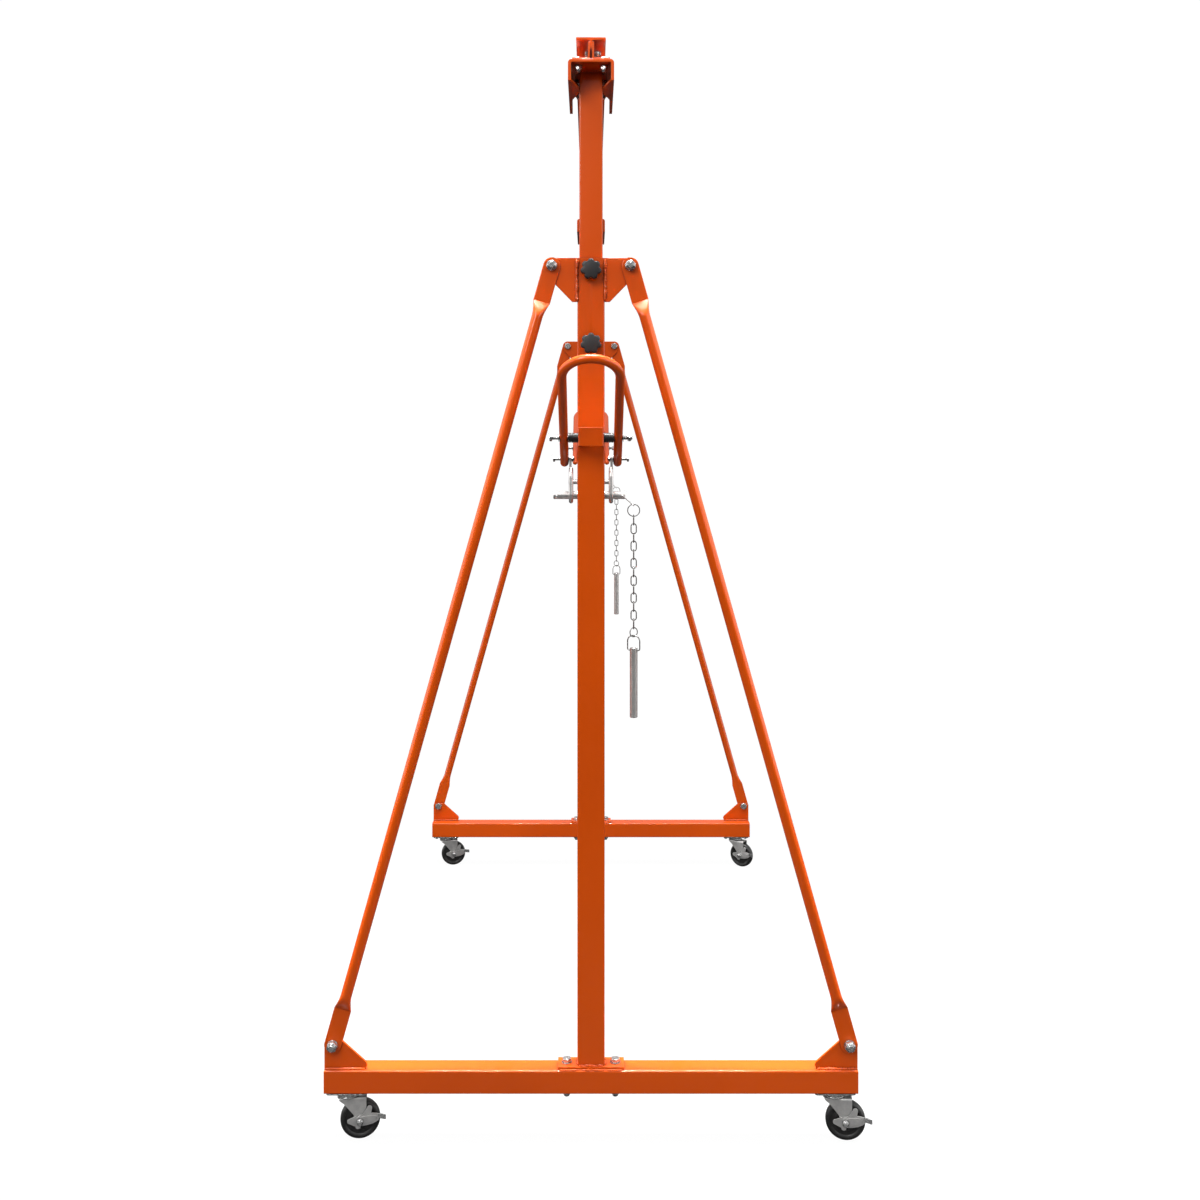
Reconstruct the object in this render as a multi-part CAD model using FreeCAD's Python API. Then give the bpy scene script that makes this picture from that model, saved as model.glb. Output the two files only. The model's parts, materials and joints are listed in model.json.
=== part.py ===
"""Portable gantry crane: two A-frames on casters, telescopic posts and a steel beam across the top.

Millimetres, +Z up. X runs along the base tubes, Y along the beam. The origin is on the floor,
midway between the four casters. The front frame stands at negative Y and the rear frame mirrors it.
"""
import FreeCAD, Part
import math
import os

from FreeCAD import Placement, Rotation, Vector

# ---- driving dimensions ------------------------------------------------------------------
POST_SPAN = 2150.0            # beam length between the two post centres
BASE_LENGTH = 1366.0
BASE_SECTION = 60.0
TUBE_WALL = 3.0
CASTER_HEIGHT = 127.0         # floor to underside of the base tube

HEXAGONS = {                  # by size: across flats, head, nut and the collar of a lock nut
    8.0: (13.0, 5.3, 5.0, 2.0),
    10.0: (16.0, 6.5, 8.0, 2.0),
    12.0: (18.0, 7.5, 10.0, 3.0),
    14.0: (21.0, 9.0, 11.0, 3.0),
    16.0: (24.0, 10.0, 12.0, 4.0),
}
COLLAR_RADIUS = 0.44          # of the width across flats
NUT_CLEARANCE = 0.15          # radial, of a nut's plain bore round its bolt

OUTER_POST = (70.0, 40.0)     # width along X, depth along Y
OUTER_WALL = 4.0
OUTER_TOP = 2265.0
INNER_POST = (60.0, 30.0)
INNER_FOOT = 620.0
FOOT_PLATE = (170.0, 54.0, 8.0)
FOOT_BOLT = 14.0
FOOT_BOLT_X = 62.5
FOOT_BOLT_HOLE = 7.5
FOOT_BOLT_END = 109.0
FOOT_WASHER = (13.0, 7.4, 2.5)  # radius, bore radius, thickness

GUSSET_THICKNESS = 6.0
GUSSET_BACK = 15.0            # from the post centre plane to the inner side of a gusset
BASE_GUSSET = [(683, 187), (683, 255), (675, 262), (638, 261), (576, 206), (573, 198), (577, 187)]
POST_GUSSET = [(35, 2265), (103, 2265), (114, 2258), (118, 2246), (116, 2222), (48, 2152), (35, 2152)]
BRACE_LOW = (661.0, 250.0)    # lower brace bolt, X and Z
BRACE_HIGH = (100.5, 2244.0)  # upper brace bolt, X and Z
BRACE_BOLT = 16.0
BRACE_BOLT_HOLE = 8.5
BRACE_BOLT_REACH = 20.0       # beyond the brace
BRACE_WASHER = (13.4, 8.3, 3.0)
BRACE_VENT = (3.0, 25.0)      # radius, distance from the end of the round tube
BRACE_TUBE = 28.0
BRACE_WALL = 2.0
BRACE_FLAT_WIDTH = 44.0
BRACE_FLAT_THICKNESS = 4.0
BRACE_FLAT_LENGTH = 95.0
BRACE_TAPER_LENGTH = 43.0

CASTER_X = {"left": -625.0, "right": 625.0}
CASTER_TRAIL = 30.0
CASTER_PLATE = (105.0, 60.0, 3.0)
CASTER_BOLT = 10.0
CASTER_BOLT_HOLE = 5.5
CASTER_BOLT_REACH = 42.0      # from the swivel axis to a fixing bolt
CASTER_BOLT_END = 113.0
SWIVEL_RADIUS = 28.0
SWIVEL_JOINT_Z = 119.0        # between the fixed and the turning half
CROWN = (108.0, 111.5)        # top plate of the fork, low and high
CROWN_ENDS = (-22.0, 46.0)
KINGPIN_RADIUS = 6.0
RIVET = (9.0, 5.7)            # radius and height of the king pin's rivet head
RACE_GAP = 0.3                # between the halves of the swivel, and above the rivet
FORK_THICKNESS = 3.0
FORK_GAP = 1.5                # beside the wheel
FORK_LEG = [
    (-22, 111.5), (46, 111.5), (46, 64), (42, 42), (36, 38),
    (25, 38), (18, 46), (14, 66), (-11, 96), (-22, 104),
]
WHEEL_RADIUS = 50.8
WHEEL_WIDTH = 26.0
WHEEL_SHOULDER = 6.0
BRAKE_THICKNESS = 2.5
BRAKE_GAP = 0.6               # between the fork and the brake
AXLE_RADIUS = 5.0
AXLE_REACH = 14.5             # beyond the fork
RUNNING = 0.06                # radial clearance of everything that turns
CASTER_TURN = {"front_left": 8.0, "front_right": -8.0, "rear_left": 12.0, "rear_right": -35.0}

PIN_RADIUS = 10.0             # lift bar and locking pin
PIN_HOLE_RADIUS = 11.0
PIN_PITCH = 100.0             # one stroke of the lift lever, and the spacing of the holes
RAISE = 800.0                 # how far the beam goes up from here
LOWER = 400.0                 # how far it goes down from here
BAR_Z = 1656.5
BAR_ENDS = (-97.0, 88.0)
BAR_COTTER = (2.6, 8.0)       # radius of the cross holes, distance of the left one from the end
ROD_CHAMFER = 1.5

PIVOT_Z = 1803.0
PIVOT_BOLT = 10.0
PIVOT_BOLT_ENDS = (-98.0, 104.0)
PIVOT_WASHER = (10.0, 5.2, 1.5)
SPACER = (12.5, 5.2)          # radius, bore radius
BRACKET_HALF_WIDTH = 32.0
BRACKET_WALL = 5.0
BRACKET_RISE = (-21.0, 26.0)  # below and above the pivot
BRACKET_REACH = 18.0          # outwards of the pivot
BRACKET_CORNER = 4.0
LEVER_TILT = 55.5             # degrees from vertical
LEVER_TUBE = 22.0
LEVER_HALF_WIDTH = 68.5
LEVER_REACH = 313.0           # pivot to the top of the arch
LEVER_ARM = 93.5              # pivot to the link bolts
LEVER_WALL = 2.5
LEVER_TAIL = 16.0             # beyond the link bolts
LINK_BOLT = 8.0
LINK_BOLT_ENDS = (92.5, 42.5)
LINK_X = 51.5
LINK_ROD = 11.0
LINK_INNER_HALF = 15.0
LINK_DROP = 46.0              # link bolt to the centre of the loop's upper bend
LINK_EYE = (10.0, 6.0)        # radius, thickness
LINK_NECK_HALF = 8.0

KNOB_HEIGHTS = {"upper": 2233.0, "lower": 2044.0}
KNOB_RADIUS = 27.0
KNOB_DEPTH = 22.0
KNOB_STANDOFF = 9.0           # from the outer post to the back of the knob
KNOB_SCREW_RADIUS = 5.0
KNOB_LOBES = 7
KNOB_NOTCH = (8.0, 4.0)       # radius, and how far outside the rim its centre lies
CLAMP_NUT = (17.0, 8.0)       # across flats, height

SADDLE_WIDTH = 116.0
SADDLE_THICKNESS = 8.0
SADDLE_HEIGHT = 54.0
SADDLE_CORNERS = (10.0, 3.0)  # outside and inside radius
SADDLE_GUSSET = 6.0
SADDLE_TOP = 2752.5
SADDLE_ENDS = (90.0, -210.0)  # outwards and inwards of the post centre
ANGLE_LEG = 45.0
ANGLE_THICKNESS = 5.0
ANGLE_ROOT = 4.0
ANGLE_ENDS = (85.0, -195.0)
SADDLE_BOLT = 12.0
SADDLE_BOLT_HOLE = 6.5
SADDLE_BOLT_REACH = 17.0      # beyond the plate under the nut
SADDLE_BOLT_X = 33.0
SADDLE_BOLT_OUT = (60.0, -65.0, -170.0)
WEB_BOLT_RISE = 34.0          # above the saddle
WEB_BOLT_OUT = (18.0, -80.0, -150.0)

BEAM_WIDTH = 76.0
BEAM_HEIGHT = 73.0
BEAM_WEB = 5.4
BEAM_FLANGE = 6.5
BEAM_OVERHANG = 34.0          # beyond each post centre
BEAM_COPE = 211.0             # lower flange cut back, inwards of the post centre
BEAM_ROOT = 5.0

CHAIN_WIRE = 3.0
CHAIN_LINKS = 13
CHAIN_LINK_LENGTH = 28.6
CHAIN_LINK_WIDTH = 16.6
RING_WIRE = 2.6
RING_RADII = (15.5, 11.8)     # upper and lower ring, to the middle of the wire
LOWER_RING_TURN = 35.0
SHACKLE_X = 80.0              # where the shackle goes through the lift bar
SHACKLE_WIDTH = 32.0
SWING_X = 110.0               # where the chain hangs from
SWING_Z = 1630.0
HANG_GAP = 0.3
BAIL_HEIGHT = 38.0
BAIL_WIDTH = 34.0
BAIL_CORNERS = (15.0, 5.0)    # at the top and at the bottom
BAIL_TURN = -25.0
BAIL_DEPTH = 7.0              # from the pin's top to the bail's hole
LOCKING_PIN_LENGTH = 180.0

# ---- derived places ----------------------------------------------------------------------
BASE_TOP = CASTER_HEIGHT + BASE_SECTION
OUTER_FOOT = BASE_TOP + FOOT_PLATE[2]
POST_FACE = OUTER_POST[1] / 2          # outwards of the post centre
GUSSET_FRONT = GUSSET_BACK + GUSSET_THICKNESS
BRACE_FRONT = GUSSET_FRONT + BRACE_FLAT_THICKNESS
PIVOT_OUT = LEVER_ARM * math.sin(math.radians(LEVER_TILT))  # the links hang in the post centre plane
LINK_BOLT_Z = PIVOT_Z - LEVER_ARM * math.cos(math.radians(LEVER_TILT))
FORK_OUTER = WHEEL_WIDTH / 2 + FORK_GAP + FORK_THICKNESS
WEB_BOLT_Z = SADDLE_TOP + WEB_BOLT_RISE
POST_Y = -POST_SPAN / 2                # front post centre

X_AXIS = Vector(1, 0, 0)
Y_AXIS = Vector(0, 1, 0)
Z_AXIS = Vector(0, 0, 1)


# ---- building blocks ---------------------------------------------------------------------
def box(x, y, z):
    """A block from three (low, high) pairs."""
    return Part.makeBox(x[1] - x[0], y[1] - y[0], z[1] - z[0], Vector(x[0], y[0], z[0]))


def rod(radius, start, end):
    start = Vector(*start)
    end = Vector(*end)
    return Part.makeCylinder(radius, (end - start).Length, start, end - start)


def plate(points, y):
    """A flat plate with an outline in X and Z and a (low, high) thickness in Y."""
    corners = [Vector(px, y[0], pz) for px, pz in points]
    face = Part.Face(Part.makePolygon(corners + corners[:1]))
    return face.extrude(Vector(0, y[1] - y[0], 0))


def edges_along(shape, direction, at=None):
    """Straight edges of a shape that run along a direction, all of them or those passing a test."""
    found = []
    for edge in shape.Edges:
        if edge.Curve.TypeId != "Part::GeomLine":
            continue
        run = edge.Vertexes[-1].Point - edge.Vertexes[0].Point
        if run.Length > 0 and run.cross(direction).Length < 1e-6 * run.Length:
            if at is None or at(edge.CenterOfMass):
                found.append(edge)
    return found


def rectangular_tube(x, y, z, along, wall, corner=4.0):
    """A hollow tube with rounded outer corners, open at both ends."""
    block = box(x, y, z)
    outer = block.makeFillet(corner, edges_along(block, along))
    sides = [x, y, z]
    for i, part in enumerate(along):
        grow = 1.0 if part else -wall
        sides[i] = (sides[i][0] - grow, sides[i][1] + grow)
    return outer.cut(box(*sides))


def hexagon(across, height, start, direction):
    """A chamfered hexagonal head or nut that stands on start and points along direction."""
    corner = across / math.sqrt(3)
    points = []
    for i in range(7):
        angle = math.radians(60 * i)
        points.append(Vector(corner * math.cos(angle), corner * math.sin(angle), 0))
    prism = Part.Face(Part.makePolygon(points)).extrude(Vector(0, 0, height))
    chamfer = corner - across / 2
    drum = Part.makeCylinder(corner, height)
    top_edge = [e for e in drum.Edges if abs(e.CenterOfMass.z - height) < 1e-6 and e.Closed]
    solid = prism.common(drum.makeChamfer(chamfer * 0.8, top_edge[:1]))
    solid.Placement = Placement(Vector(*start), Rotation(Z_AXIS, Vector(*direction)))
    return solid


def ring_washer(outer, inner, height, start, direction):
    solid = Part.makeCylinder(outer, height).cut(Part.makeCylinder(inner, height))
    solid.Placement = Placement(Vector(*start), Rotation(Z_AXIS, Vector(*direction)))
    return solid


def bolt(size, head_at, end_at):
    """A hexagon-head bolt: the head stands outside head_at and the shank runs to end_at."""
    across, head, _, _ = HEXAGONS[size]
    start = Vector(*head_at)
    run = Vector(*end_at) - start
    out = run.multiply(-1.0 / run.Length)
    shank = rod(size / 2, start, end_at)
    return shank.fuse(hexagon(across, head, start, out)).removeSplitter()


def nut(size, start, direction, lock=True):
    """A nut standing on start; a lock nut has a round collar on top."""
    across, _, height, collar = HEXAGONS[size]
    direction = Vector(*direction)
    body = hexagon(across, height, start, direction)
    if lock:
        top = Vector(*start) + direction * height
        body = body.fuse(Part.makeCylinder(across * COLLAR_RADIUS, collar, top, direction))
    bore_radius = size / 2 + NUT_CLEARANCE
    bore = Part.makeCylinder(bore_radius, height + collar + 2, Vector(*start) - direction, direction)
    return body.cut(bore)


def slot_cutter(x, half_width, low, high):
    """A cutter through X for an upright slot about the post centre line; low and high are end centres."""
    cutter = box(x, (-half_width, half_width), (low, high))
    for z in (low, high):
        cutter = cutter.fuse(rod(half_width, (x[0], 0, z), (x[1], 0, z)))
    return cutter


def wire_ring(radius, wire, yaw=0.0):
    """A round ring standing upright, centred at the origin, turned about Z by yaw."""
    ring = Part.makeTorus(radius, wire / 2, Vector(0, 0, 0), Y_AXIS)
    ring.rotate(Vector(0, 0, 0), Z_AXIS, yaw)
    return ring


def wire_loop(length, width, wire, corners=None):
    """A closed loop of round wire in the XZ plane; length and width are outside sizes."""
    half_l = (length - wire) / 2
    half_w = (width - wire) / 2
    top, low = corners or (half_w, half_w)
    bends = [
        (half_w - top, half_l - top, top), (top - half_w, half_l - top, top),
        (low - half_w, low - half_l, low), (half_w - low, low - half_l, low),
    ]
    solid = None
    for i, (cx, cz, radius) in enumerate(bends):
        centre = Vector(cx, 0, cz)
        first = centre + spoke(radius, 90 * i)
        last = centre + spoke(radius, 90 * i + 90)
        disc = Part.Face(Part.Wire(Part.makeCircle(wire / 2, first, spoke(1, 90 * i + 90))))
        bend = disc.revolve(centre, Vector(0, -1, 0), 90)
        solid = bend if solid is None else solid.fuse(bend)
        next_x, next_z, next_radius = bends[(i + 1) % 4]
        following = Vector(next_x, 0, next_z) + spoke(next_radius, 90 * i + 90)
        if (following - last).Length > 1e-6:
            solid = solid.fuse(rod(wire / 2, last, following))
    return solid.removeSplitter()


def spoke(radius, turn):
    """A vector in XZ, turned anticlockwise from +X."""
    angle = math.radians(turn)
    return Vector(radius * math.cos(angle), 0, radius * math.sin(angle))


# ---- the base of one frame ---------------------------------------------------------------
# Everything below is drawn with the post centre line at X = 0, Y = 0 and the outer side at
# negative Y, then moved to the front frame's place or mirrored to the rear frame's.
def base_tube():
    half = BASE_SECTION / 2
    tube = rectangular_tube(
        (-BASE_LENGTH / 2, BASE_LENGTH / 2), (-half, half), (CASTER_HEIGHT, BASE_TOP), X_AXIS, TUBE_WALL
    )
    for x in (-FOOT_BOLT_X, FOOT_BOLT_X):
        tube = tube.cut(rod(FOOT_BOLT_HOLE, (x, 0, CASTER_HEIGHT - 1), (x, 0, BASE_TOP + 1)))
    for swivel_x in CASTER_X.values():
        for x in (swivel_x - CASTER_BOLT_REACH, swivel_x + CASTER_BOLT_REACH):
            hole = rod(CASTER_BOLT_HOLE, (x, 0, CASTER_HEIGHT - 1), (x, 0, CASTER_HEIGHT + TUBE_WALL + 1))
            tube = tube.cut(hole)
    return [tube]


def gusset_pair(outline, bolt_at):
    """Two flat gussets with their brace bolt holes, one on each side of the post."""
    found = []
    for side in (-1, 1):
        flat = plate([(side * x, z) for x, z in outline], (-GUSSET_FRONT, -GUSSET_BACK))
        x, z = side * bolt_at[0], bolt_at[1]
        found.append(flat.cut(rod(BRACE_BOLT_HOLE, (x, -GUSSET_FRONT - 1, z), (x, -GUSSET_BACK + 1, z))))
    return found


def base_gussets():
    return gusset_pair(BASE_GUSSET, BRACE_LOW)


def outer_post():
    """The fixed post with its foot plate and the two nuts that take the clamp screws."""
    half_x = OUTER_POST[0] / 2
    tube = rectangular_tube(
        (-half_x, half_x), (-POST_FACE, POST_FACE), (OUTER_FOOT, OUTER_TOP), Z_AXIS, OUTER_WALL
    )
    through = (-half_x - 1, half_x + 1)
    tube = tube.cut(slot_cutter(through, PIN_HOLE_RADIUS, BAR_Z + 0.5, BAR_Z + PIN_PITCH))
    lock_z = BAR_Z - PIN_PITCH
    tube = tube.cut(rod(PIN_HOLE_RADIUS, (through[0], 0, lock_z), (through[1], 0, lock_z)))
    foot = box((-FOOT_PLATE[0] / 2, FOOT_PLATE[0] / 2), (-FOOT_PLATE[1] / 2, FOOT_PLATE[1] / 2),
               (BASE_TOP, OUTER_FOOT))
    for x in (-FOOT_BOLT_X, FOOT_BOLT_X):
        foot = foot.cut(rod(FOOT_BOLT_HOLE, (x, 0, BASE_TOP - 1), (x, 0, OUTER_FOOT + 1)))
    nuts = []
    for z in KNOB_HEIGHTS.values():
        screw_hole = rod(KNOB_SCREW_RADIUS + RUNNING, (0, -POST_FACE - 20, z), (0, -POST_FACE + 10, z))
        tube = tube.cut(screw_hole)
        nuts.append(hexagon(*CLAMP_NUT, (0, -POST_FACE, z), (0, -1, 0)).cut(screw_hole))
    return [tube, foot] + nuts


def foot_bolts():
    found = []
    for x in (-FOOT_BOLT_X, FOOT_BOLT_X):
        found.append(ring_washer(*FOOT_WASHER, (x, 0, OUTER_FOOT), (0, 0, 1)))
        found.append(bolt(FOOT_BOLT, (x, 0, OUTER_FOOT + FOOT_WASHER[2]), (x, 0, FOOT_BOLT_END)))
        found.append(nut(FOOT_BOLT, (x, 0, CASTER_HEIGHT), (0, 0, -1)))
    return found


def post_gussets():
    return gusset_pair(POST_GUSSET, BRACE_HIGH)


def brace(side):
    """A round tube pressed flat at both ends, flush with the gussets' outer sides."""
    length = math.dist(BRACE_LOW, BRACE_HIGH)
    half_w = BRACE_FLAT_WIDTH / 2
    radius = BRACE_TUBE / 2
    taper_start = BRACE_FLAT_LENGTH
    tube_start = BRACE_FLAT_LENGTH + BRACE_TAPER_LENGTH

    def end(z0, sign):
        flat = box((-half_w, half_w), (-BRACE_FLAT_THICKNESS, 0), sorted((z0, z0 + sign * taper_start)))
        tip = rod(half_w, (0, -BRACE_FLAT_THICKNESS, z0), (0, 0, z0))
        front = -BRACE_FLAT_THICKNESS
        corners = [(half_w, 0), (-half_w, 0), (-half_w, front), (half_w, front)]
        ring_z = z0 + sign * tube_start
        flat_z = z0 + sign * taper_start
        flat_wire = Part.makePolygon([Vector(x, y, flat_z) for x, y in corners + corners[:1]])
        arcs = []
        for i in range(4):
            spots = []
            for turn in (45 + 90 * i, 90 + 90 * i, 135 + 90 * i):
                angle = math.radians(turn)
                spots.append(Vector(radius * math.cos(angle), radius * math.sin(angle) - radius, ring_z))
            arcs.append(Part.Arc(*spots).toShape())
        taper = Part.makeLoft([flat_wire, Part.Wire(arcs)], True, True)
        hole = rod(BRACE_BOLT_HOLE, (0, front - 1, z0), (0, 1, z0))
        return flat.fuse([tip, taper]).cut(hole)

    middle = ((0, -radius, tube_start), (0, -radius, length - tube_start))
    tube = rod(radius, *middle).cut(rod(radius - BRACE_WALL, *middle))
    vent_z = tube_start + BRACE_VENT[1]
    vent = rod(BRACE_VENT[0], (0, -radius, vent_z), (0, 2, vent_z))
    solid = tube.cut(vent).fuse([end(0, 1), end(length, -1)])
    low = Vector(side * BRACE_LOW[0], -GUSSET_FRONT, BRACE_LOW[1])
    high = Vector(side * BRACE_HIGH[0], -GUSSET_FRONT, BRACE_HIGH[1])
    lean = math.degrees(math.atan2(high.x - low.x, high.z - low.z))
    solid.Placement = Placement(low, Rotation(Y_AXIS, lean))
    return solid


def braces():
    return [brace(-1), brace(1)]


def brace_bolts():
    found = []
    nut_y = -BRACE_FRONT - BRACE_WASHER[2]
    for side in (-1, 1):
        for x, z in (BRACE_LOW, BRACE_HIGH):
            x = side * x
            found.append(bolt(BRACE_BOLT, (x, -GUSSET_BACK, z), (x, -BRACE_FRONT - BRACE_BOLT_REACH, z)))
            found.append(ring_washer(*BRACE_WASHER, (x, -BRACE_FRONT, z), (0, -1, 0)))
            found.append(nut(BRACE_BOLT, (x, nut_y, z), (0, -1, 0)))
    return found


# ---- the casters -------------------------------------------------------------------------
# A caster is drawn with its swivel axis at the origin and its wheel trailing towards +X.
def caster_plate():
    """The top plate with the upper half of the swivel, its king pin and the four fixings."""
    half_x, half_y = CASTER_PLATE[0] / 2, CASTER_PLATE[1] / 2
    plate_z = CASTER_HEIGHT - CASTER_PLATE[2]
    flat = box((-half_x, half_x), (-half_y, half_y), (plate_z, CASTER_HEIGHT))
    flat = flat.makeFillet(8, edges_along(flat, Z_AXIS))
    race = rod(SWIVEL_RADIUS + 1, (0, 0, SWIVEL_JOINT_Z), (0, 0, plate_z))
    rivet_top = CROWN[0] - RACE_GAP
    pin = rod(KINGPIN_RADIUS, (0, 0, rivet_top - RIVET[1]), (0, 0, plate_z))
    rivet = rod(RIVET[0], (0, 0, rivet_top - RIVET[1]), (0, 0, rivet_top))
    flat = flat.fuse([race, pin, rivet])
    fixings = []
    for x in (-CASTER_BOLT_REACH, CASTER_BOLT_REACH):
        flat = flat.cut(rod(CASTER_BOLT_HOLE, (x, 0, plate_z - 1), (x, 0, CASTER_HEIGHT + 1)))
        fixings.append(bolt(CASTER_BOLT, (x, 0, CASTER_HEIGHT + TUBE_WALL), (x, 0, CASTER_BOLT_END)))
        fixings.append(nut(CASTER_BOLT, (x, 0, plate_z), (0, 0, -1), lock=False))
    return [flat] + fixings


def caster_fork():
    """The pressed fork: lower half of the swivel, crown, two legs, and the wheel's axle bolt."""
    low = Vector(CASTER_TRAIL, 0, WHEEL_RADIUS)
    race = rod(SWIVEL_RADIUS, (0, 0, CROWN[1]), (0, 0, SWIVEL_JOINT_Z - RACE_GAP))
    crown = box(CROWN_ENDS, (-FORK_OUTER, FORK_OUTER), CROWN)
    round_front = rod(SWIVEL_RADIUS, (0, 0, CROWN[0]), (0, 0, CROWN[1]))
    fork = race.fuse([crown, round_front])
    for side in (-1, 1):
        y = sorted((side * FORK_OUTER, side * (FORK_OUTER - FORK_THICKNESS)))
        leg = plate(FORK_LEG, y)
        hole = rod(AXLE_RADIUS + 0.1, (low.x, y[0] - 1, low.z), (low.x, y[1] + 1, low.z))
        fork = fork.fuse(leg.cut(hole))
    bore = rod(KINGPIN_RADIUS + RUNNING, (0, 0, CROWN[0] - 1), (0, 0, SWIVEL_JOINT_Z))
    fork = fork.cut(bore).removeSplitter()
    inner = FORK_OUTER + 0.4
    axle = bolt(2 * AXLE_RADIUS, (low.x, inner, low.z), (low.x, -FORK_OUTER - AXLE_REACH, low.z))
    nut_y = -FORK_OUTER - BRAKE_THICKNESS - 2 * BRAKE_GAP
    lock = nut(2 * AXLE_RADIUS, (low.x, nut_y, low.z), (0, -1, 0))
    return [fork, axle, lock]


def caster_wheel():
    """Revolved about its axle: a tread with round shoulders, dished sides and a raised hub."""
    half = WHEEL_WIDTH / 2
    profile = [
        (AXLE_RADIUS + RUNNING, half + 0.6), (14, half + 0.6), (17, half - 3), (38, half - 3), (41, half),
        (WHEEL_RADIUS - WHEEL_SHOULDER, half), (WHEEL_RADIUS - 1.8, half - 1.8),
        (WHEEL_RADIUS, half - WHEEL_SHOULDER),
    ]
    outline = profile + [(r, -y) for r, y in reversed(profile)]
    corners = [Vector(r, y, 0) for r, y in outline]
    face = Part.Face(Part.makePolygon(corners + corners[:1]))
    wheel = face.revolve(Vector(0, 0, 0), Y_AXIS, 360)
    wheel.translate(Vector(CASTER_TRAIL, 0, WHEEL_RADIUS))
    return [wheel]


def caster_brake():
    """The side brake: a pressed leaf on the axle with three round ears and a bent foot tab."""
    y = (-FORK_OUTER - BRAKE_GAP - BRAKE_THICKNESS, -FORK_OUTER - BRAKE_GAP)

    def disc(x, z, radius):
        return rod(radius, (x, y[0], z), (x, y[1], z))

    outline = [(-8, 14), (8, 20), (26, 23), (43, 20), (50, 14), (50, 6), (40, -6), (20, -13), (-2, -12)]
    leaf = plate(outline, y)
    arm = plate([(-27, -5.5), (-28, 7), (-9, 14), (1, -19)], y)
    finger = plate([(7, 18), (19, 35), (30, 29), (27, 14)], y)
    ears = [disc(-26, 1, 6.5), disc(-5, -13, 6.5), disc(24, 32, 6.5), disc(0, 0, 13)]
    foot = [(47, y[1]), (66, y[1] - 9), (64, y[1] - 11.3), (45, y[1] - 2.5)]
    corners = [Vector(px, py, 5) for px, py in foot]
    tab = Part.Face(Part.makePolygon(corners + corners[:1])).extrude(Vector(0, 0, 12))
    solid = leaf.fuse([arm, finger, tab] + ears)
    solid = solid.cut(rod(AXLE_RADIUS + RUNNING, (0, y[0] - 1, 0), (0, y[1] + 1, 0))).removeSplitter()
    solid.translate(Vector(CASTER_TRAIL, 0, WHEEL_RADIUS))
    return [solid]


# ---- the lift lever ----------------------------------------------------------------------
def lift_bracket():
    """A channel welded to the outer post that carries the lever's pivot bolt."""
    half = BRACKET_HALF_WIDTH
    z = (PIVOT_Z + BRACKET_RISE[0], PIVOT_Z + BRACKET_RISE[1])
    front = -PIVOT_OUT - BRACKET_REACH
    shape = box((-half, half), (front, front + BRACKET_WALL), z)
    for side in (-1, 1):
        x = sorted((side * half, side * (half - BRACKET_WALL)))
        shape = shape.fuse(box(x, (front + BRACKET_WALL, -POST_FACE), z))
    shape = shape.removeSplitter()
    front_edges = edges_along(shape, Z_AXIS, lambda spot: spot.y < front + 0.5)
    shape = shape.makeFillet(BRACKET_CORNER, front_edges)
    hole = rod(PIVOT_WASHER[1], (-half - 1, -PIVOT_OUT, PIVOT_Z), (half + 1, -PIVOT_OUT, PIVOT_Z))
    return [shape.cut(hole)]


def pivot_bolt():
    at = (-PIVOT_OUT, PIVOT_Z)
    washer_x = LEVER_HALF_WIDTH + LEVER_TUBE / 2 + 0.7
    return [
        bolt(PIVOT_BOLT, (PIVOT_BOLT_ENDS[0], *at), (PIVOT_BOLT_ENDS[1], *at)),
        nut(PIVOT_BOLT, (PIVOT_BOLT_ENDS[1] - 12, *at), (1, 0, 0)),
        ring_washer(*PIVOT_WASHER, (washer_x, *at), (1, 0, 0)),
        ring_washer(*PIVOT_WASHER, (-washer_x, *at), (-1, 0, 0)),
    ]


def pivot_spacers():
    at = (-PIVOT_OUT, PIVOT_Z)
    inner = BRACKET_HALF_WIDTH + 0.2
    outer = LEVER_HALF_WIDTH - LEVER_TUBE / 2 - 0.4
    return [ring_washer(*SPACER, outer - inner, (side * inner, *at), (side, 0, 0)) for side in (-1, 1)]


def lever_placement():
    return Placement(Vector(0, -PIVOT_OUT, PIVOT_Z), Rotation(X_AXIS, LEVER_TILT))


def lift_lever():
    """The U-shaped lever, drawn upright about its pivot and then tilted outwards."""
    tail = -LEVER_ARM - LEVER_TAIL
    arch_z = LEVER_REACH - LEVER_HALF_WIDTH

    def u_shape(radius, closed):
        arch_start = Vector(LEVER_HALF_WIDTH, 0, arch_z)
        disc = Part.Face(Part.Wire(Part.makeCircle(radius, arch_start, Z_AXIS)))
        solid = disc.revolve(Vector(0, 0, arch_z), Vector(0, -1, 0), 180)
        for side in (-1, 1):
            x = side * LEVER_HALF_WIDTH
            solid = solid.fuse(rod(radius, (x, 0, tail), (x, 0, arch_z)))
            if closed:
                solid = solid.fuse(Part.makeSphere(radius, Vector(x, 0, tail)))
        return solid

    lever = u_shape(LEVER_TUBE / 2, True).cut(u_shape(LEVER_TUBE / 2 - LEVER_WALL, False))
    reach = LEVER_HALF_WIDTH + 20
    lever = lever.cut(rod(PIVOT_BOLT / 2 + RUNNING, (-reach, 0, 0), (reach, 0, 0)))
    lever = lever.cut(rod(LINK_BOLT / 2 + 0.1, (-reach, 0, -LEVER_ARM), (reach, 0, -LEVER_ARM)))
    lever.Placement = lever_placement()
    return [lever]


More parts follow.
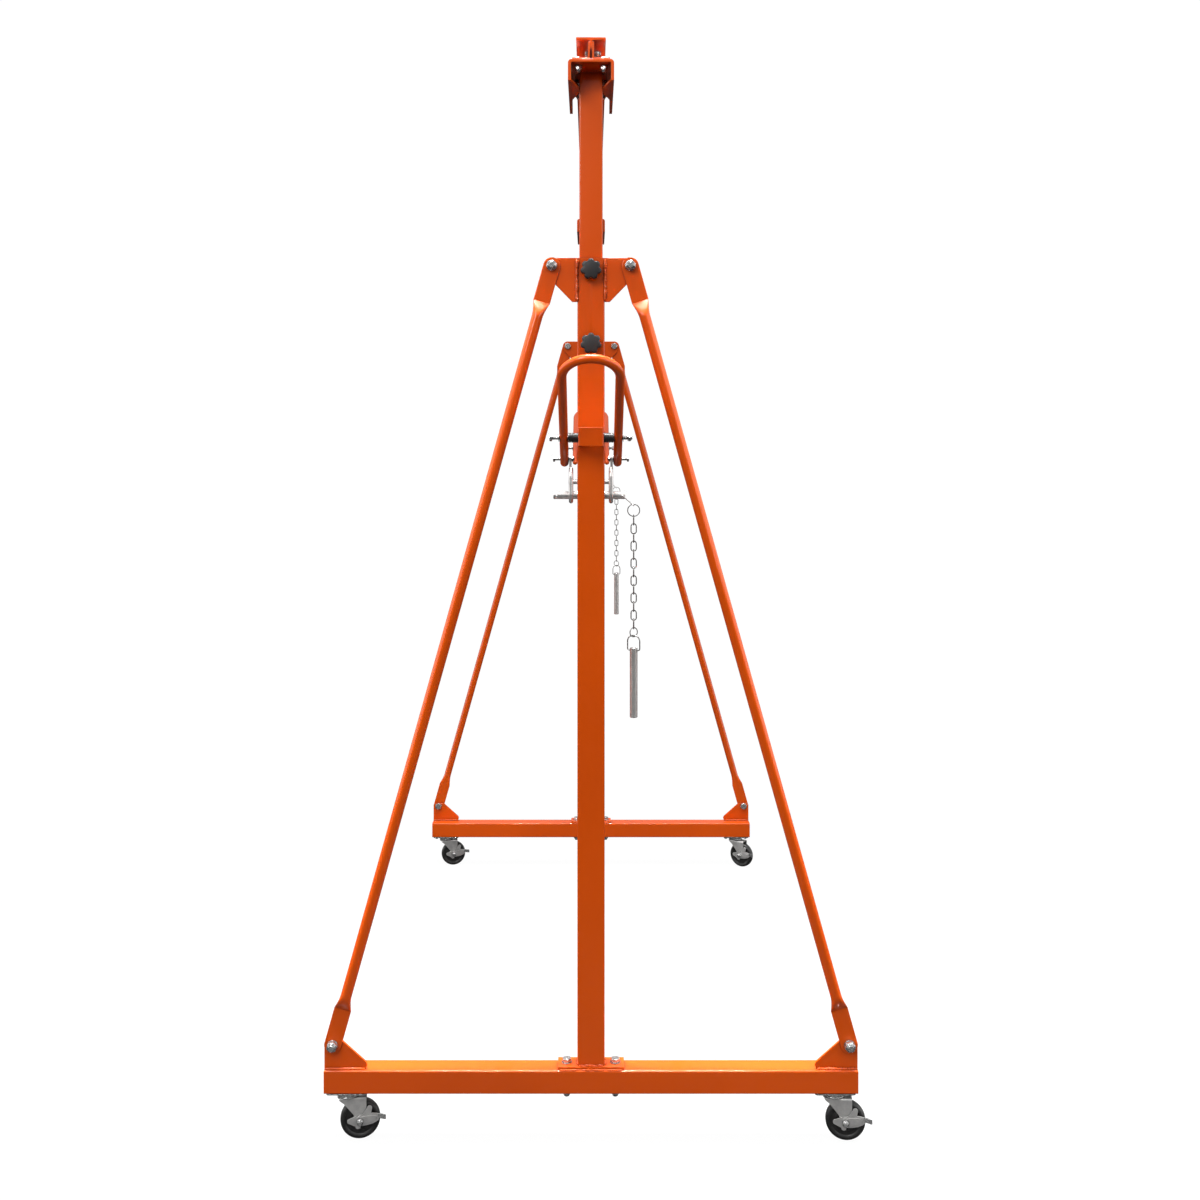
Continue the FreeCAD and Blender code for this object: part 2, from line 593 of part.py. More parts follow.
def link_bolts():
    found = []
    for side in (-1, 1):
        outside = (side * LINK_BOLT_ENDS[0], 0, LINK_BOLT_Z)
        inside = (side * LINK_BOLT_ENDS[1], 0, LINK_BOLT_Z)
        found.append(bolt(LINK_BOLT, outside, inside))
        found.append(nut(LINK_BOLT, (side * (LINK_X - 2), 0, LINK_BOLT_Z), (-side, 0, 0), lock=False))
    return found


def lift_links():
    """Two long loops that hang from the lever and catch the lift bar from below."""
    bottom_z = BAR_Z - PIN_RADIUS - HANG_GAP + LINK_INNER_HALF
    top_z = LINK_BOLT_Z - LINK_DROP
    half = LINK_INNER_HALF + LINK_ROD / 2
    found = []
    for side in (-1, 1):
        x = side * LINK_X
        loop = None
        for z, turn in ((top_z, 1), (bottom_z, -1)):
            start = Vector(x, turn * half, z)
            disc = Part.Face(Part.Wire(Part.makeCircle(LINK_ROD / 2, start, Z_AXIS)))
            bend = disc.revolve(Vector(x, 0, z), X_AXIS, 180)
            loop = bend if loop is None else loop.fuse(bend)
        for y in (-half, half):
            loop = loop.fuse(rod(LINK_ROD / 2, (x, y, bottom_z), (x, y, top_z)))
        eye_x = sorted((side * (LINK_X - 1.5), side * (LINK_X - 1.5 + LINK_EYE[1])))
        eye = rod(LINK_EYE[0], (eye_x[0], 0, LINK_BOLT_Z), (eye_x[1], 0, LINK_BOLT_Z))
        neck = box(eye_x, (-LINK_NECK_HALF, LINK_NECK_HALF), (top_z + LINK_INNER_HALF + 3, LINK_BOLT_Z))
        link = loop.fuse([eye, neck]).removeSplitter()
        hole = rod(LINK_BOLT / 2 + RUNNING, (x - 10, 0, LINK_BOLT_Z), (x + 10, 0, LINK_BOLT_Z))
        found.append(link.cut(hole))
    return found


def lift_bar():
    """The cross bar, with the wire shackle that carries the chain hooked through its end."""
    bar = rod(PIN_RADIUS, (BAR_ENDS[0], 0, BAR_Z), (BAR_ENDS[1], 0, BAR_Z))
    ends = [e for e in bar.Edges if e.Closed]
    bar = bar.makeChamfer(ROD_CHAMFER, ends)
    for x in (BAR_ENDS[0] + BAR_COTTER[1], SHACKLE_X):
        bar = bar.cut(rod(BAR_COTTER[0], (x, -20, BAR_Z), (x, 20, BAR_Z)))
    reach = math.dist((SHACKLE_X, BAR_Z), (SWING_X, SWING_Z))
    lean = math.degrees(math.atan2(SWING_X - SHACKLE_X, BAR_Z - SWING_Z))
    shackle = wire_loop(reach + CHAIN_WIRE, SHACKLE_WIDTH, CHAIN_WIRE, corners=(4, 4))
    shackle.rotate(Vector(0, 0, 0), Z_AXIS, 90)
    shackle.rotate(Vector(0, 0, 0), Y_AXIS, -lean)
    shackle.translate(Vector((SHACKLE_X + SWING_X) / 2, 0, (BAR_Z + SWING_Z) / 2))
    return [bar, shackle]


def hanging_heights():
    """Centre heights of the upper ring, the chain links, the lower ring and the bail's cross wire."""
    hook = RING_WIRE / 2 + CHAIN_WIRE / 2 + HANG_GAP
    link_half = (CHAIN_LINK_LENGTH - CHAIN_WIRE) / 2
    pitch = CHAIN_LINK_LENGTH - 2 * CHAIN_WIRE - HANG_GAP
    upper = SWING_Z - RING_RADII[0] + hook
    first = upper - RING_RADII[0] + hook - link_half
    links = [first - i * pitch for i in range(CHAIN_LINKS)]
    lower = links[-1] - link_half + hook - RING_RADII[1]
    bail_top = lower - RING_RADII[1] + hook
    return upper, links, lower, bail_top


def pin_chain():
    """Ring, chain, second ring and the wire bail of the locking pin, hanging straight down."""
    upper, links, lower, bail_top = hanging_heights()
    pieces = []

    def hang(shape, z):
        shape.translate(Vector(SWING_X, 0, z))
        pieces.append(shape)

    hang(wire_ring(RING_RADII[0], RING_WIRE), upper)
    for i, z in enumerate(links):
        link = wire_loop(CHAIN_LINK_LENGTH, CHAIN_LINK_WIDTH, CHAIN_WIRE)
        link.rotate(Vector(0, 0, 0), Z_AXIS, 90 if i % 2 == 0 else 0)
        hang(link, z)
    hang(wire_ring(RING_RADII[1], RING_WIRE, yaw=LOWER_RING_TURN), lower)
    bail = wire_loop(BAIL_HEIGHT + CHAIN_WIRE, BAIL_WIDTH + CHAIN_WIRE, CHAIN_WIRE, corners=BAIL_CORNERS)
    bail.rotate(Vector(0, 0, 0), Z_AXIS, BAIL_TURN)
    hang(bail, bail_top - BAIL_HEIGHT / 2)
    return pieces


def locking_pin():
    bail_top = hanging_heights()[3]
    cross_z = bail_top - BAIL_HEIGHT
    top = cross_z + BAIL_DEPTH
    pin = rod(PIN_RADIUS, (SWING_X, 0, top - LOCKING_PIN_LENGTH), (SWING_X, 0, top))
    pin = pin.makeChamfer(ROD_CHAMFER, [e for e in pin.Edges if e.Closed])
    hole = rod(CHAIN_WIRE / 2 + 0.6, (-20, 0, cross_z), (20, 0, cross_z))
    hole.rotate(Vector(0, 0, 0), Z_AXIS, BAIL_TURN)
    hole.translate(Vector(SWING_X, 0, 0))
    return [pin.cut(hole)]


def clamp_knob(z):
    """A seven-lobed star knob with a steel screw that presses on the inner post."""
    back = -POST_FACE - KNOB_STANDOFF
    front = back - KNOB_DEPTH
    profile = [(0, back), (12, back), (12, back - 5), (24.5, back - 5), (KNOB_RADIUS, back - 7),
               (KNOB_RADIUS, front + 7), (25, front + 3), (18, front + 1), (0, front)]
    corners = [Vector(r, y, 0) for r, y in profile]
    head = Part.Face(Part.makePolygon(corners + corners[:1])).revolve(Vector(0, 0, 0), Y_AXIS, 360)
    for i in range(KNOB_LOBES):
        angle = math.radians(90 + 360 * (i + 0.5) / KNOB_LOBES)
        x = (KNOB_RADIUS + KNOB_NOTCH[1]) * math.cos(angle)
        up = (KNOB_RADIUS + KNOB_NOTCH[1]) * math.sin(angle)
        head = head.cut(rod(KNOB_NOTCH[0], (x, back - 4.9, up), (x, front - 1, up)))
    screw = rod(KNOB_SCREW_RADIUS, (0, back - 3, 0), (0, -INNER_POST[1] / 2 - 0.4, 0))
    knob = head.fuse(screw)
    knob.translate(Vector(0, 0, z))
    return [knob]


# ---- what goes up and down ---------------------------------------------------------------
def inner_post():
    """The sliding post. One long slot on each side stands for its row of pin holes."""
    half_x, half_y = INNER_POST[0] / 2, INNER_POST[1] / 2
    top = SADDLE_TOP - SADDLE_THICKNESS
    tube = rectangular_tube((-half_x, half_x), (-half_y, half_y), (INNER_FOOT, top), Z_AXIS, TUBE_WALL, 3.0)
    through = (-half_x - 1, half_x + 1)
    return [tube.cut(slot_cutter(through, PIN_HOLE_RADIUS, BAR_Z - RAISE, BAR_Z + LOWER))]


def saddle():
    """A wide channel, open side down, welded on the post, with two flat gussets beside the post."""
    half = SADDLE_WIDTH / 2
    y = (-SADDLE_ENDS[0], -SADDLE_ENDS[1])
    low = SADDLE_TOP - SADDLE_HEIGHT
    outer = box((-half, half), y, (low, SADDLE_TOP))
    top_edges = edges_along(outer, Y_AXIS, lambda spot: spot.z > SADDLE_TOP - 1)
    outer = outer.makeFillet(SADDLE_CORNERS[0], top_edges)
    inner = box((SADDLE_THICKNESS - half, half - SADDLE_THICKNESS), (y[0] - 1, y[1] + 1),
                (low - 1, SADDLE_TOP - SADDLE_THICKNESS))
    inner = inner.makeFillet(SADDLE_CORNERS[1], edges_along(inner, Y_AXIS, lambda spot: spot.z > low))
    channel = outer.cut(inner)
    for out in SADDLE_BOLT_OUT:
        for x in (-SADDLE_BOLT_X, SADDLE_BOLT_X):
            channel = channel.cut(rod(SADDLE_BOLT_HOLE, (x, -out, low), (x, -out, SADDLE_TOP + 1)))
    wall_x = half - SADDLE_THICKNESS
    post_x, post_y = INNER_POST[0] / 2, INNER_POST[1] / 2
    outline = [(wall_x, y[0] + 5), (wall_x, 85), (post_x, post_y), (post_x, -post_y)]
    gussets = []
    for side in (-1, 1):
        corners = [Vector(side * px, py, low) for px, py in outline]
        face = Part.Face(Part.makePolygon(corners + corners[:1]))
        gussets.append(face.extrude(Vector(0, 0, SADDLE_GUSSET)))
    return [channel] + gussets


def saddle_angles():
    """Two angles back to back on the saddle, gripping the beam's web between them."""
    web = BEAM_WEB / 2
    y = (-ANGLE_ENDS[0], -ANGLE_ENDS[1])
    top = SADDLE_TOP + ANGLE_LEG
    found = []
    for side in (-1, 1):
        upright = box(sorted((side * web, side * (web + ANGLE_THICKNESS))), y, (SADDLE_TOP, top))
        shelf_z = (SADDLE_TOP, SADDLE_TOP + ANGLE_THICKNESS)
        shelf = box(sorted((side * web, side * (web + ANGLE_LEG))), y, shelf_z)
        angle = upright.fuse(shelf).removeSplitter()
        inside = edges_along(
            angle, Y_AXIS,
            lambda spot: abs(abs(spot.x) - web - ANGLE_THICKNESS) < 0.1
            and abs(spot.z - SADDLE_TOP - ANGLE_THICKNESS) < 0.1,
        )
        angle = angle.makeFillet(ANGLE_ROOT, inside)
        for out in SADDLE_BOLT_OUT:
            x = side * SADDLE_BOLT_X
            angle = angle.cut(rod(SADDLE_BOLT_HOLE, (x, -out, SADDLE_TOP - 1), (x, -out, SADDLE_TOP + 10)))
        for out in WEB_BOLT_OUT:
            angle = angle.cut(rod(SADDLE_BOLT_HOLE, (-60, -out, WEB_BOLT_Z), (60, -out, WEB_BOLT_Z)))
        found.append(angle)
    return found


def saddle_bolts():
    """Upright bolts through saddle and angles, and cross bolts through angles and web."""
    found = []
    under = SADDLE_TOP - SADDLE_THICKNESS
    shelf = SADDLE_TOP + ANGLE_THICKNESS
    for out in SADDLE_BOLT_OUT:
        for x in (-SADDLE_BOLT_X, SADDLE_BOLT_X):
            found.append(bolt(SADDLE_BOLT, (x, -out, shelf), (x, -out, under - SADDLE_BOLT_REACH)))
            found.append(nut(SADDLE_BOLT, (x, -out, under), (0, 0, -1)))
    face = BEAM_WEB / 2 + ANGLE_THICKNESS
    for out in WEB_BOLT_OUT:
        end = (face + SADDLE_BOLT_REACH, -out, WEB_BOLT_Z)
        found.append(bolt(SADDLE_BOLT, (-face, -out, WEB_BOLT_Z), end))
        found.append(nut(SADDLE_BOLT, (face, -out, WEB_BOLT_Z), (1, 0, 0)))
    return found


def beam():
    """The rolled I beam; its lower flange is cut back where the angles grip the web."""
    bottom = SADDLE_TOP
    top = bottom + BEAM_HEIGHT
    half_w = BEAM_WIDTH / 2
    web = BEAM_WEB / 2
    end = POST_SPAN / 2 + BEAM_OVERHANG
    flange_end = POST_SPAN / 2 - BEAM_COPE
    upper = box((-half_w, half_w), (-end, end), (top - BEAM_FLANGE, top))
    lower = box((-half_w, half_w), (-flange_end, flange_end), (bottom, bottom + BEAM_FLANGE))
    middle = box((-web, web), (-end, end), (bottom + 0.5, top - BEAM_FLANGE))
    shape = middle.fuse([upper, lower]).removeSplitter()
    roots = edges_along(shape, Y_AXIS, lambda spot: abs(abs(spot.x) - web) < 0.1
                        and abs(spot.z - (top - BEAM_FLANGE)) < 0.1)
    shape = shape.makeFillet(BEAM_ROOT, roots)
    for out in WEB_BOLT_OUT:
        for side in (-1, 1):
            y = side * (POST_SPAN / 2 + out)
            shape = shape.cut(rod(SADDLE_BOLT_HOLE, (-20, y, WEB_BOLT_Z), (20, y, WEB_BOLT_Z)))
    return [shape]


# ---- assembly ----------------------------------------------------------------------------
FRAME_NODES = {
    "base_tube": base_tube,
    "base_gussets": base_gussets,
    "outer_post": outer_post,
    "foot_bolts": foot_bolts,
    "post_gussets": post_gussets,
    "braces": braces,
    "brace_bolts": brace_bolts,
    "lift_bracket": lift_bracket,
    "pivot_bolt": pivot_bolt,
    "pivot_spacers": pivot_spacers,
    "lift_lever": lift_lever,
    "link_bolts": link_bolts,
    "lift_links": lift_links,
    "lift_bar": lift_bar,
    "pin_chain": pin_chain,
    "locking_pin": locking_pin,
    "clamp_knob_upper": lambda: clamp_knob(KNOB_HEIGHTS["upper"]),
    "clamp_knob_lower": lambda: clamp_knob(KNOB_HEIGHTS["lower"]),
    "inner_post": inner_post,
    "saddle": saddle,
    "saddle_angles": saddle_angles,
    "saddle_bolts": saddle_bolts,
}
CASTER_NODES = {"fork": caster_fork, "wheel": caster_wheel, "brake": caster_brake}

os.makedirs("parts", exist_ok=True)


def save(name, solids):
    for solid in solids:
        if not solid.isValid() or len(solid.Solids) != 1:
            raise ValueError(f"{name} is not one valid solid")
    shape = solids[0] if len(solids) == 1 else Part.makeCompound(solids)
    shape.exportStep(f"parts/{name}.step")


def placed(solids, x, y, turn):
    found = []
    for solid in solids:
        moved = solid.copy()
        moved.rotate(Vector(0, 0, 0), Z_AXIS, turn)
        moved.translate(Vector(x, y, 0))
        found.append(moved)
    return found


def main():
    for name, make in FRAME_NODES.items():
        front = placed(make(), 0, POST_Y, 0)
        save(f"front_{name}", front)
        save(f"rear_{name}", [solid.mirror(Vector(0, 0, 0), Y_AXIS) for solid in front])
    for frame, y in (("front", POST_Y), ("rear", -POST_Y)):
        plates = []
        for side, x in CASTER_X.items():
            plates += placed(caster_plate(), x, y, 0)
            turn = CASTER_TURN[f"{frame}_{side}"]
            for name, make in CASTER_NODES.items():
                save(f"{frame}_{side}_caster_{name}", placed(make(), x, y, turn))
        save(f"{frame}_caster_plates", plates)
    save("beam", beam())


main()
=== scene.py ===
"""Looks of the portable gantry crane: paint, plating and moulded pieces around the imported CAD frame.

Metres, in the CAD's own frame: X along the base tubes, Y along the beam, Z up. Pieces of one
A-frame are drawn with the post centre line at x = 0, out = 0, where out grows away from the
middle of the crane, and are then put on the front frame or mirrored to the rear one.
"""
import json
import math
import random

import bmesh
import bpy
from mathutils import Euler, Matrix, Vector


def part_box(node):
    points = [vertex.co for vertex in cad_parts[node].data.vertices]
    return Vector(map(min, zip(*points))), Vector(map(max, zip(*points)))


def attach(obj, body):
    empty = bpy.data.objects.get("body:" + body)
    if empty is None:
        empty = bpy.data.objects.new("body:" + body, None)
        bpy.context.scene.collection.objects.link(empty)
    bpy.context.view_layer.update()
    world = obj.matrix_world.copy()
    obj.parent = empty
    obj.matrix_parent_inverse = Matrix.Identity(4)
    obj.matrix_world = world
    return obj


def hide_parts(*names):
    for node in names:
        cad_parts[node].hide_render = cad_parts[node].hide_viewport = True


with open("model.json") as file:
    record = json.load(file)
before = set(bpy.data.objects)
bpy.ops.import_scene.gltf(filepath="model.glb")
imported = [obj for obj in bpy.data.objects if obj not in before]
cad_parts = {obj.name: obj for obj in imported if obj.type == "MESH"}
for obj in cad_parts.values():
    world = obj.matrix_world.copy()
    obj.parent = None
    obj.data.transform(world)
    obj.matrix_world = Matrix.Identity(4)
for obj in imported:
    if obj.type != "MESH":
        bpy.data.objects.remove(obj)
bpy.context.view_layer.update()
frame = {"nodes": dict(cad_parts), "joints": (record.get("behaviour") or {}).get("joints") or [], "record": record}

MM = 0.001
SIDES = {"front": -1, "rear": 1}


# ---- places read from the frame ----
def middle(node):
    """The centre of a CAD node's box."""
    low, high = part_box(node)
    return (low + high) / 2


JOINTS = {joint["name"]: joint for joint in frame["joints"]}
SLOTS = {part["node"]: part["material_slot"] for part in frame["record"]["subparts"]}
POST_Y = abs(middle("front_inner_post").y)
POST_HALF_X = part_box("front_inner_post")[1].x
POST_HALF_Y = (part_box("front_inner_post")[1].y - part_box("front_inner_post")[0].y) / 2
OUTER_HALF_X = 35 * MM        # the outer post's section
OUTER_HALF_Y = 20 * MM
FOOT_PLATE_THICK = 8 * MM
BAR_RADIUS = 10 * MM
OUTER_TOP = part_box("front_outer_post")[1].z
CASTER_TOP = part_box("front_base_tube")[0].z
BASE_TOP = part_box("front_base_tube")[1].z
FOOT_PLATE_TOP = BASE_TOP + FOOT_PLATE_THICK
GUSSET_OUT = (15 * MM, 21 * MM)  # inner and outer face of the gusset plates
SADDLE_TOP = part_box("front_saddle")[1].z
PIVOT_Z = JOINTS["front_lever_fold"]["pos_m"][2]
PIVOT_OUT = -JOINTS["front_lever_fold"]["pos_m"][1] - POST_Y
LINK_BOLT_Z = JOINTS["front_links_swing"]["pos_m"][2]
BAR_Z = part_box("front_lift_bar")[1].z - BAR_RADIUS


# ---- mesh tools ----
SAME_POINT = 1e-7             # vertices nearer than this are one
NEEDLE = 1e-6                 # least radius of a turned shape, where its profile meets the axis
SMOOTH_ANGLE = 35.0           # edges sharper than this stay sharp, in degrees


def make_object(name, verts, faces, material, smooth_angle=SMOOTH_ANGLE):
    """A mesh object with clean vertices, outward normals and one material."""
    mesh = bpy.data.meshes.new(name)
    mesh.from_pydata([tuple(v) for v in verts], [], faces)
    mesh.validate()
    tidy = bmesh.new()
    tidy.from_mesh(mesh)
    bmesh.ops.remove_doubles(tidy, verts=tidy.verts, dist=SAME_POINT)
    bmesh.ops.recalc_face_normals(tidy, faces=tidy.faces)
    tidy.to_mesh(mesh)
    tidy.free()
    mesh.materials.append(material)
    piece = bpy.data.objects.new(name, mesh)
    bpy.context.scene.collection.objects.link(piece)
    shade(piece, smooth_angle)
    return piece


def shade(piece, angle):
    """Smooth shading that keeps edges sharper than the angle."""
    for polygon in piece.data.polygons:
        polygon.use_smooth = True
    piece.data.set_sharp_from_angle(angle=math.radians(angle))


def loft(rings, closed_ends=True):
    """Vertices and faces of a skin through rings that all have the same number of points."""
    verts = [point for ring in rings for point in ring]
    count = len(rings[0])
    faces = []
    for row in range(len(rings) - 1):
        for i in range(count):
            a = row * count + i
            b = row * count + (i + 1) % count
            faces.append((a, b, b + count, a + count))
    if closed_ends:
        faces.append(tuple(reversed(range(count))))
        faces.append(tuple(range(len(verts) - count, len(verts))))
    return verts, faces


def lathe(profile, origin, axis, steps=64):
    """A turned shape; profile is a list of (distance along the axis, radius)."""
    axis = Vector(axis).normalized()
    across = axis.orthogonal().normalized()
    other = axis.cross(across)
    rings = []
    for along, radius in profile:
        ring = []
        for angle in circle_angles(steps):
            spoke = across * math.cos(angle) + other * math.sin(angle)
            ring.append(Vector(origin) + axis * along + spoke * max(radius, NEEDLE))
        rings.append(ring)
    return loft(rings)


def join_parts(parts):
    """Several (verts, faces) pairs as one."""
    verts, faces = [], []
    for part_verts, part_faces in parts:
        start = len(verts)
        verts += part_verts
        faces += [tuple(start + i for i in face) for face in part_faces]
    return verts, faces


def on_frame(verts, side):
    """From (x, out, z) of one A-frame to the crane."""
    return [Vector((v[0], SIDES[side] * (POST_Y + v[1]), v[2])) for v in verts]


def put(name, shape, material, body, slot, replaces=(), smooth_angle=SMOOTH_ANGLE):
    """A piece in the crane's coordinates that rides on a body, in place of the CAD nodes it replaces."""
    verts, faces = shape
    piece = make_object(name, verts, faces, material, smooth_angle)
    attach(piece, body)
    if replaces:
        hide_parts(*replaces)
    return piece


def put_on_frame(side, name, shape, *rest, **options):
    """A piece given in the coordinates of one A-frame; the rest is as for put."""
    verts, faces = shape
    return put(name, (on_frame(verts, side), faces), *rest, **options)


def quads_only(shape):
    """A turned shape without its end caps, for one that closes on itself round a bore."""
    verts, faces = shape
    return verts, [face for face in faces if len(face) == 4]


def circle_angles(steps):
    return [2 * math.pi * i / steps for i in range(steps)]


def smoothstep(t):
    t = min(max(t, 0.0), 1.0)
    return t * t * (3 - 2 * t)


def mix(a, b, t):
    return a + (b - a) * t


# ---- materials ----
EDGE_SAMPLES = 4              # of a rounded edge's normal
CREVICE_SHADE_SAMPLES = 6               # of how open a surface is, for the painted shade in crevices


def add_node(tree, kind, inputs=None, **settings):
    """A shader node whose inputs are set to values or linked to sockets."""
    node = tree.nodes.new(kind)
    for key, value in settings.items():
        setattr(node, key, value)
    for key, value in (inputs or {}).items():
        if isinstance(value, bpy.types.NodeSocket):
            tree.links.new(value, node.inputs[key])
        else:
            node.inputs[key].default_value = value
    return node


class Nodes:
    """A new material and short ways to build its nodes."""

    def __init__(self, name):
        self.material = bpy.data.materials.new(name)
        self.material.use_nodes = True
        self.tree = self.material.node_tree
        self.shader = self.tree.nodes["Principled BSDF"]

    def add(self, kind, inputs=None, **settings):
        return add_node(self.tree, kind, inputs, **settings)

    def set(self, **values):
        """Sets the shader's sockets, named with _ for a space, or links nodes to them."""
        for key, value in values.items():
            socket = self.shader.inputs[key.replace("_", " ")]
            if isinstance(value, bpy.types.NodeSocket):
                self.tree.links.new(value, socket)
            else:
                socket.default_value = value

    def noise(self, scale, detail=3.0, roughness=0.5, stretch=None):
        """A 0-1 cloud in the piece's own coordinates."""
        place = self.add("ShaderNodeTexCoord").outputs["Object"]
        if stretch:
            place = self.add("ShaderNodeMapping", {"Vector": place, "Scale": stretch}).outputs["Vector"]
        return self.add(
            "ShaderNodeTexNoise", {"Vector": place, "Scale": scale, "Detail": detail, "Roughness": roughness}
        ).outputs["Fac"]

    def ramp(self, value, low, high, start=0.3, end=0.7):
        """Turns a 0-1 value into a range, as a number or a colour."""
        if isinstance(low, tuple):
            node = self.add("ShaderNodeValToRGB", {"Fac": value})
            node.color_ramp.elements[0].position = start
            node.color_ramp.elements[0].color = (*low, 1)
            node.color_ramp.elements[1].position = end
            node.color_ramp.elements[1].color = (*high, 1)
            return node.outputs["Color"]
        return self.add(
            "ShaderNodeMapRange",
            {"Value": value, "From Min": start, "From Max": end, "To Min": low, "To Max": high},
        ).outputs["Result"]

    def rounded_edges(self, radius):
        """The normal of a surface whose edges look rounded."""
        return self.add("ShaderNodeBevel", {"Radius": radius}, samples=EDGE_SAMPLES).outputs["Normal"]

    def bump(self, height, strength, distance, normal=None):
        inputs = {"Height": height, "Strength": strength, "Distance": distance}
        if normal is not None:
            inputs["Normal"] = normal
        return self.add("ShaderNodeBump", inputs).outputs["Normal"]

    def with_painted_crevice_shade(self, colour, darkest=0.3, reach=30 * MM):
        """The colour with painted shade: darker where other surfaces stand close, as contact shadow makes it."""
        # painted shade: ambient occlusion darkens the colour near other surfaces
        sky = self.add("ShaderNodeAmbientOcclusion", {"Distance": reach}, samples=CREVICE_SHADE_SAMPLES).outputs["AO"]
        share = self.ramp(sky, darkest, 1.0, start=0.3, end=0.85)
        channels = {"Red": share, "Green": share, "Blue": share}
        grey = self.add("ShaderNodeCombineColor", channels).outputs["Color"]
        inputs = {0: 1.0, 6: colour, 7: grey}  # factor, and the two colours to multiply
        return self.add("ShaderNodeMix", inputs, data_type="RGBA", blend_type="MULTIPLY").outputs[2]


def powder_coat(name, gloss=0.7):
    """Glossy orange powder coat: orange-peel texture, slight random drift in tone, softly rounded edges, painted
    shade in crevices.
    """
    n = Nodes(name)
    drift = n.noise(scale=2.3, detail=2.0)
    # the base colour carries painted shade where other surfaces stand close
    n.set(Base_Color=n.with_painted_crevice_shade(n.ramp(drift, (0.63, 0.072, 0.0004), (0.72, 0.085, 0.0008))))
    n.set(Roughness=n.ramp(n.noise(scale=38.0), 0.32, 0.44))
    peel_grain = n.noise(scale=420.0, detail=2.0, roughness=0.4)
    peel = n.bump(peel_grain, strength=0.22, distance=0.4 * MM, normal=n.rounded_edges(1.2 * MM))
    waves = n.noise(scale=60.0, detail=2.0, roughness=0.4)
    n.set(Normal=n.bump(waves, strength=0.12, distance=1.2 * MM, normal=peel))
    n.set(Coat_Weight=gloss, Coat_Roughness=0.1, Specular_IOR_Level=0.12)
    return n.material


def zinc_plate():
    """Bright zinc plating with faint cloudy patches and painted shade in its crevices."""
    n = Nodes("zinc_plate")
    cloud = n.ramp(n.noise(scale=90.0, detail=4.0), (0.50, 0.50, 0.50), (0.70, 0.70, 0.69))
    # the base colour carries painted shade where other surfaces stand close
    n.set(Base_Color=n.with_painted_crevice_shade(cloud, darkest=0.15, reach=6 * MM), Metallic=0.88)
    n.set(Roughness=n.ramp(n.noise(scale=240.0), 0.16, 0.30))
    grain = n.noise(scale=700.0, detail=2.0)
    n.set(Normal=n.bump(grain, strength=0.12, distance=0.3 * MM, normal=n.rounded_edges(0.5 * MM)))
    return n.material


def chain_steel():
    """Welded chain and its rings: plating worn darker by rubbing."""
    n = Nodes("chain_steel")
    n.set(Base_Color=n.ramp(n.noise(scale=70.0), (0.20, 0.195, 0.19), (0.34, 0.335, 0.33)), Metallic=1.0)
    n.set(Roughness=n.ramp(n.noise(scale=300.0), 0.22, 0.36))
    return n.material


def pressed_steel():
    """Zinc on the pressed fork and brake: greyer and softer than on the turned fasteners, with painted shade in
    its crevices.
    """
    n = Nodes("pressed_steel")
    cloud = n.ramp(n.noise(scale=60.0, detail=4.0), (0.66, 0.65, 0.64), (0.82, 0.81, 0.79))
    # the base colour carries painted shade where other surfaces stand close
    n.set(Base_Color=n.with_painted_crevice_shade(cloud, darkest=0.25, reach=6 * MM), Metallic=0.8)
    n.set(Roughness=n.ramp(n.noise(scale=200.0), 0.30, 0.42))
    grain = n.noise(scale=500.0)
    n.set(Normal=n.bump(grain, strength=0.10, distance=0.3 * MM, normal=n.rounded_edges(0.8 * MM)))
    return n.material


def drawn_steel(name, stretch):
    """Plated bar with fine draw lines; stretch is small along the bar's length."""
    n = Nodes(name)
    lines = n.noise(scale=500.0, roughness=0.6, stretch=stretch)
    n.set(Base_Color=n.ramp(n.noise(scale=30.0), (0.70, 0.68, 0.66), (0.86, 0.84, 0.82)), Metallic=0.82)
    n.set(Roughness=n.ramp(lines, 0.26, 0.40))
    n.set(Normal=n.bump(lines, strength=0.10, distance=0.2 * MM))
    return n.material


def black_plastic():
    """Moulded knobs and spacers with a fine sandblasted grain."""
    n = Nodes("black_plastic")
    n.set(Base_Color=n.ramp(n.noise(scale=12.0, detail=2.0), (0.014, 0.013, 0.014), (0.024, 0.023, 0.024)))
    n.set(Roughness=n.ramp(n.noise(scale=900.0, detail=2.0), 0.38, 0.52))
    n.set(Normal=n.bump(n.noise(scale=1600.0, detail=2.0), strength=0.25, distance=0.2 * MM))
    return n.material


def black_rubber():
    """Hard moulded wheel: nearly black, a little dusty."""
    n = Nodes("black_rubber")
    n.set(Base_Color=n.ramp(n.noise(scale=45.0, detail=4.0), (0.010, 0.010, 0.010), (0.022, 0.021, 0.020)))
    n.set(Roughness=n.ramp(n.noise(scale=120.0), 0.34, 0.5))
    n.set(Normal=n.bump(n.noise(scale=800.0, detail=2.0), strength=0.2, distance=0.3 * MM))
    return n.material


